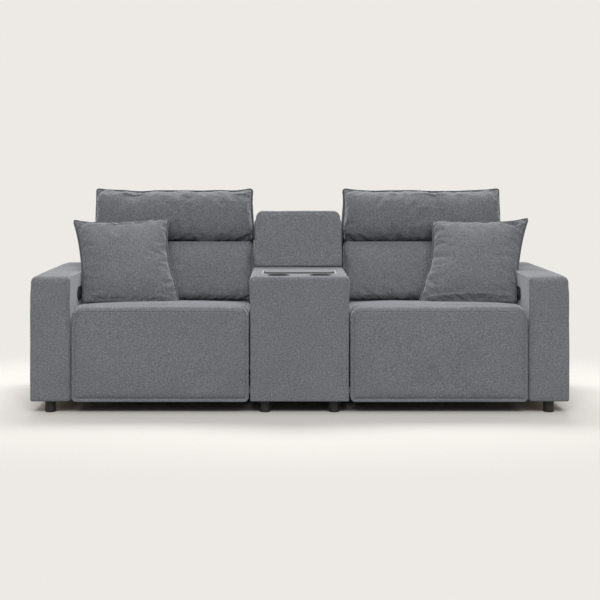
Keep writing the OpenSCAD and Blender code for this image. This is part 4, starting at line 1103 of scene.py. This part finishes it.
def pillow(side, seed):
    half = PILLOW / 2
    u, v, x, z, rim_d = rim_grid(85, 85, half, half, (12, 12, 12), 0.7)
    au, av = np.abs(u), np.abs(v)
    pull = 0.055
    x = x * (1 - pull * (1 - av ** 2.4) * au)
    z = z * (1 - pull * (1 - au ** 2.4) * av)
    low = (1 - v) / 2
    roll = 1 if side == "right" else 0
    # in mm: the sides draw in towards the bottom, and the top spreads, more so on the right
    z = z + (low * (-17.5 + 22 * u) + (1 - low) * (-4.7 - 2.3 * u + roll * 11 * u)) * MM
    x = x + (low * (1 - 5 * u + roll * 4) + (1 - low) * (7.5 - 4.5 * u + roll * 22)) * MM
    tip = au ** 6 * np.clip(v, 0, 1) ** 3
    x = x + (tip * np.where(u > 0, 6, -9) + 12 * np.clip(-u, 0, 1) * (1 - v ** 2) * smooth(v, -0.6, 0)) * MM
    z = z + tip * np.where(u > 0, 12, 9) * MM
    shape = (np.clip(1 - au ** 2.6, 0, 1) * np.clip(1 - av ** 2.6, 0, 1)) ** 0.50
    faces_out = []
    for k, depth in enumerate((0.062, 0.059)):
        t = seed + 40 * k
        gather = 2.6 * MM * field(x, z, 0.026, t + 1) * by_rim(rim_d, 0.008, 0.045)
        uneven = 3.4 * MM * field(x, z, 0.12, t + 2) + 1.1 * MM * field(x, z, 0.05, t + 3)
        fold = folds(x, (1 - v) * half, t + 5, 6.5, 12) * smooth(0.9 - au, 0, 0.12)
        pinch = folds(x, (1 + v) * half, t + 8, 8, 9) * smooth(0.9 - au, 0, 0.12)
        faces_out.append(1.5 * MM + depth * shape + gather + uneven * smooth(rim_d, 0, 0.04) + fold + pinch)
    front = np.stack([x, -faces_out[0], z], -1)
    back = np.stack([x, faces_out[1], z], -1)
    front, back = settled(front, back)
    p, f = welted(front, back)
    p = p @ np.array(PILLOW_TURN).T + PILLOW_AT
    piece = add(f"{side}_scatter_pillow", p, f, f"{side}_pillow", SHADED_CLOTH, side=side,
                edge=2 * (u.shape[0] - 1) * (u.shape[1] - 1))
    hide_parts(f"{side}_throw_pillow")


for seed, side in enumerate(SIDES):
    pillow(side, 331 + 60 * seed)


# ---- rear panel, under cloth

def rear_panel():
    lo, hi = corners("rear_panel")
    p, f, flat = box_form(lo, hi, ((6,), (6,), 18, [lo[0] + 14 * MM, hi[0] - 14 * MM]),
                          ((4,), (6,), 6), ((6,), (6,), 15, [hi[2] - 14 * MM]))
    fx, fy, fz = flat.T
    p = rounded(p, lo, hi, (5, 3, 5), (5, 6, 5))
    rear = fy >= hi[1] - SKIN
    d = np.where(rear, np.minimum(hi[0] - np.abs(fx), hi[2] - fz) - 14 * MM, 1.0)
    p = push(p, f, np.where(rear, groove(d) + relaxed(flat, 401, 1.6), 0))
    piece = add("rear_panel_upholstery", p, f, "base", CLOTH)
    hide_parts("rear_panel")


def under_cloth(side):
    node_lo, node_hi = corners("dust_cover")
    x0, x1 = 0.205, 1.036
    y0, y1 = node_lo[1], node_hi[1]
    x, y = np.meshgrid(np.linspace(x0, x1, 60), np.linspace(y0, y1, 54), indexing="ij")
    edge = np.minimum(np.minimum(x - x0, x1 - x), np.minimum(y - y0, y1 - y))
    where = np.stack([x.ravel(), y.ravel(), 0 * x.ravel()], 1)
    sag = 2.5 * MM * smooth(edge, 0, 0.2) * (1 + 0.35 * noise(where, 0.12, 411).reshape(x.shape))
    sheets = [np.stack([x, y, z - sag], -1).reshape(-1, 3) for z in (node_hi[2], node_lo[2] + 0.7 * MM)]
    n, m = x.shape
    index = np.arange(n * m).reshape(n, m)
    ring = ring_of(index)
    low = ring + n * m
    nf, nl = np.roll(ring, -1), np.roll(low, -1)
    faces = np.concatenate([grid_quads(index), grid_quads(index + n * m)[:, ::-1],
                            np.stack([ring, low, nl, nf], 1)])
    piece = add(f"{side}_under_cloth", np.concatenate(sheets), faces, "base", DUST,
                side=side)
    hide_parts("dust_cover")


rear_panel()
for side in SIDES:
    under_cloth(side)


# ---- world, floor and light

def larger(tree, a, b):
    """The larger of two outputs."""
    node = new_node(tree, "ShaderNodeMath")
    node.operation = "MAXIMUM"
    tree.links.new(a, node.inputs[0])
    tree.links.new(b, node.inputs[1])
    return node.outputs[0]


def show(tree, amount, first, second, final):
    """Send a mix of two shader nodes to a final node. The amount is the second one's."""
    node = new_node(tree, "ShaderNodeMixShader")
    for k, out in enumerate((amount, first.outputs[0], second.outputs[0])):
        tree.links.new(out, node.inputs[k])
    tree.links.new(node.outputs[0], final.inputs["Surface"])


world = bpy.data.worlds.new("studio")
scene.world = world
tree = fresh(world)
rays = new_node(tree, "ShaderNodeLightPath").outputs
direct = larger(tree, larger(tree, rays["Is Camera Ray"], rays["Is Transmission Ray"]), rays["Is Glossy Ray"])
ambient = new_node(tree, "ShaderNodeBackground", Color=(1, 1, 1, 1), Strength=0.33)
seen = new_node(tree, "ShaderNodeBackground", Color=linear(BACKDROP), Strength=1.0)
show(tree, direct, ambient, seen, new_node(tree, "ShaderNodeOutputWorld"))


def floor():
    """A plain round floor that fades out into the backdrop."""
    rings, spokes = 48, 96
    radius = 9.0
    points = [(0, 0, 0)]
    for k in range(1, rings + 1):
        r = radius * (k / rings) ** 1.6
        points += [(r * math.cos(2 * math.pi * a / spokes), r * math.sin(2 * math.pi * a / spokes), 0)
                   for a in range(spokes)]
    faces = [(0, 1 + a, 1 + (a + 1) % spokes) for a in range(spokes)]
    for k in range(rings - 1):
        s = 1 + k * spokes
        faces += [(s + a, s + spokes + a, s + spokes + (a + 1) % spokes, s + (a + 1) % spokes)
                  for a in range(spokes)]
    ground = meshed("studio_floor", points, faces)
    ground.location = (0, 0, -0.0005)
    material = bpy.data.materials.new("floor_paint")
    t = fresh(material)
    rays = new_node(t, "ShaderNodeLightPath").outputs
    tint = new_node(t, "ShaderNodeMix")
    tint.data_type = "RGBA"
    low, high = [k for k in tint.inputs if k.type == "RGBA"]
    low.default_value = linear(FLOOR_LIT)
    high.default_value = linear(FLOOR_SEEN)
    t.links.new(larger(t, rays["Is Camera Ray"], rays["Is Glossy Ray"]), tint.inputs["Factor"])
    matt = new_node(t, "ShaderNodeBsdfDiffuse")
    t.links.new([k for k in tint.outputs if k.type == "RGBA"][0], matt.inputs["Color"])
    flatten = new_node(t, "ShaderNodeMapping", Scale=(0.40, 0.62, 1))
    t.links.new(new_node(t, "ShaderNodeTexCoord").outputs["Object"], flatten.inputs["Vector"])
    far = new_node(t, "ShaderNodeVectorMath")
    far.operation = "LENGTH"
    t.links.new(flatten.outputs[0], far.inputs[0])
    fade = new_node(t, "ShaderNodeMapRange", From_Min=0.45, From_Max=1.15)
    fade.interpolation_type = "SMOOTHSTEP"
    t.links.new(far.outputs["Value"], fade.inputs["Value"])
    clear = new_node(t, "ShaderNodeBsdfTransparent")
    show(t, fade.outputs["Result"], matt, clear, new_node(t, "ShaderNodeOutputMaterial"))
    ground.data.materials.append(material)


def area_light(name, at, aim, size, power):
    light = bpy.data.lights.new(name, "AREA")
    light.shape = "RECTANGLE"
    light.size, light.size_y = size
    light.energy = power
    lamp = bpy.data.objects.new(name, light)
    lamp.location = at
    lamp.rotation_euler = (Vector(aim) - Vector(at)).to_track_quat("-Z", "Y").to_euler()
    scene.collection.objects.link(lamp)


floor()
area_light("overhead", (0.2, 2.0, 4.3), (0, 0, 0.6), (3.8, 1.8), 180)
area_light("front_soft", (0.1, -11.0, 8.2), (0, 0, 0.5), (7.5, 4.0), 1200)
area_light("rear_left", (-2.6, 3.0, 3.0), (-0.4, 0, 0.5), (2.4, 1.6), 35)

scene.view_settings.view_transform = "Standard"
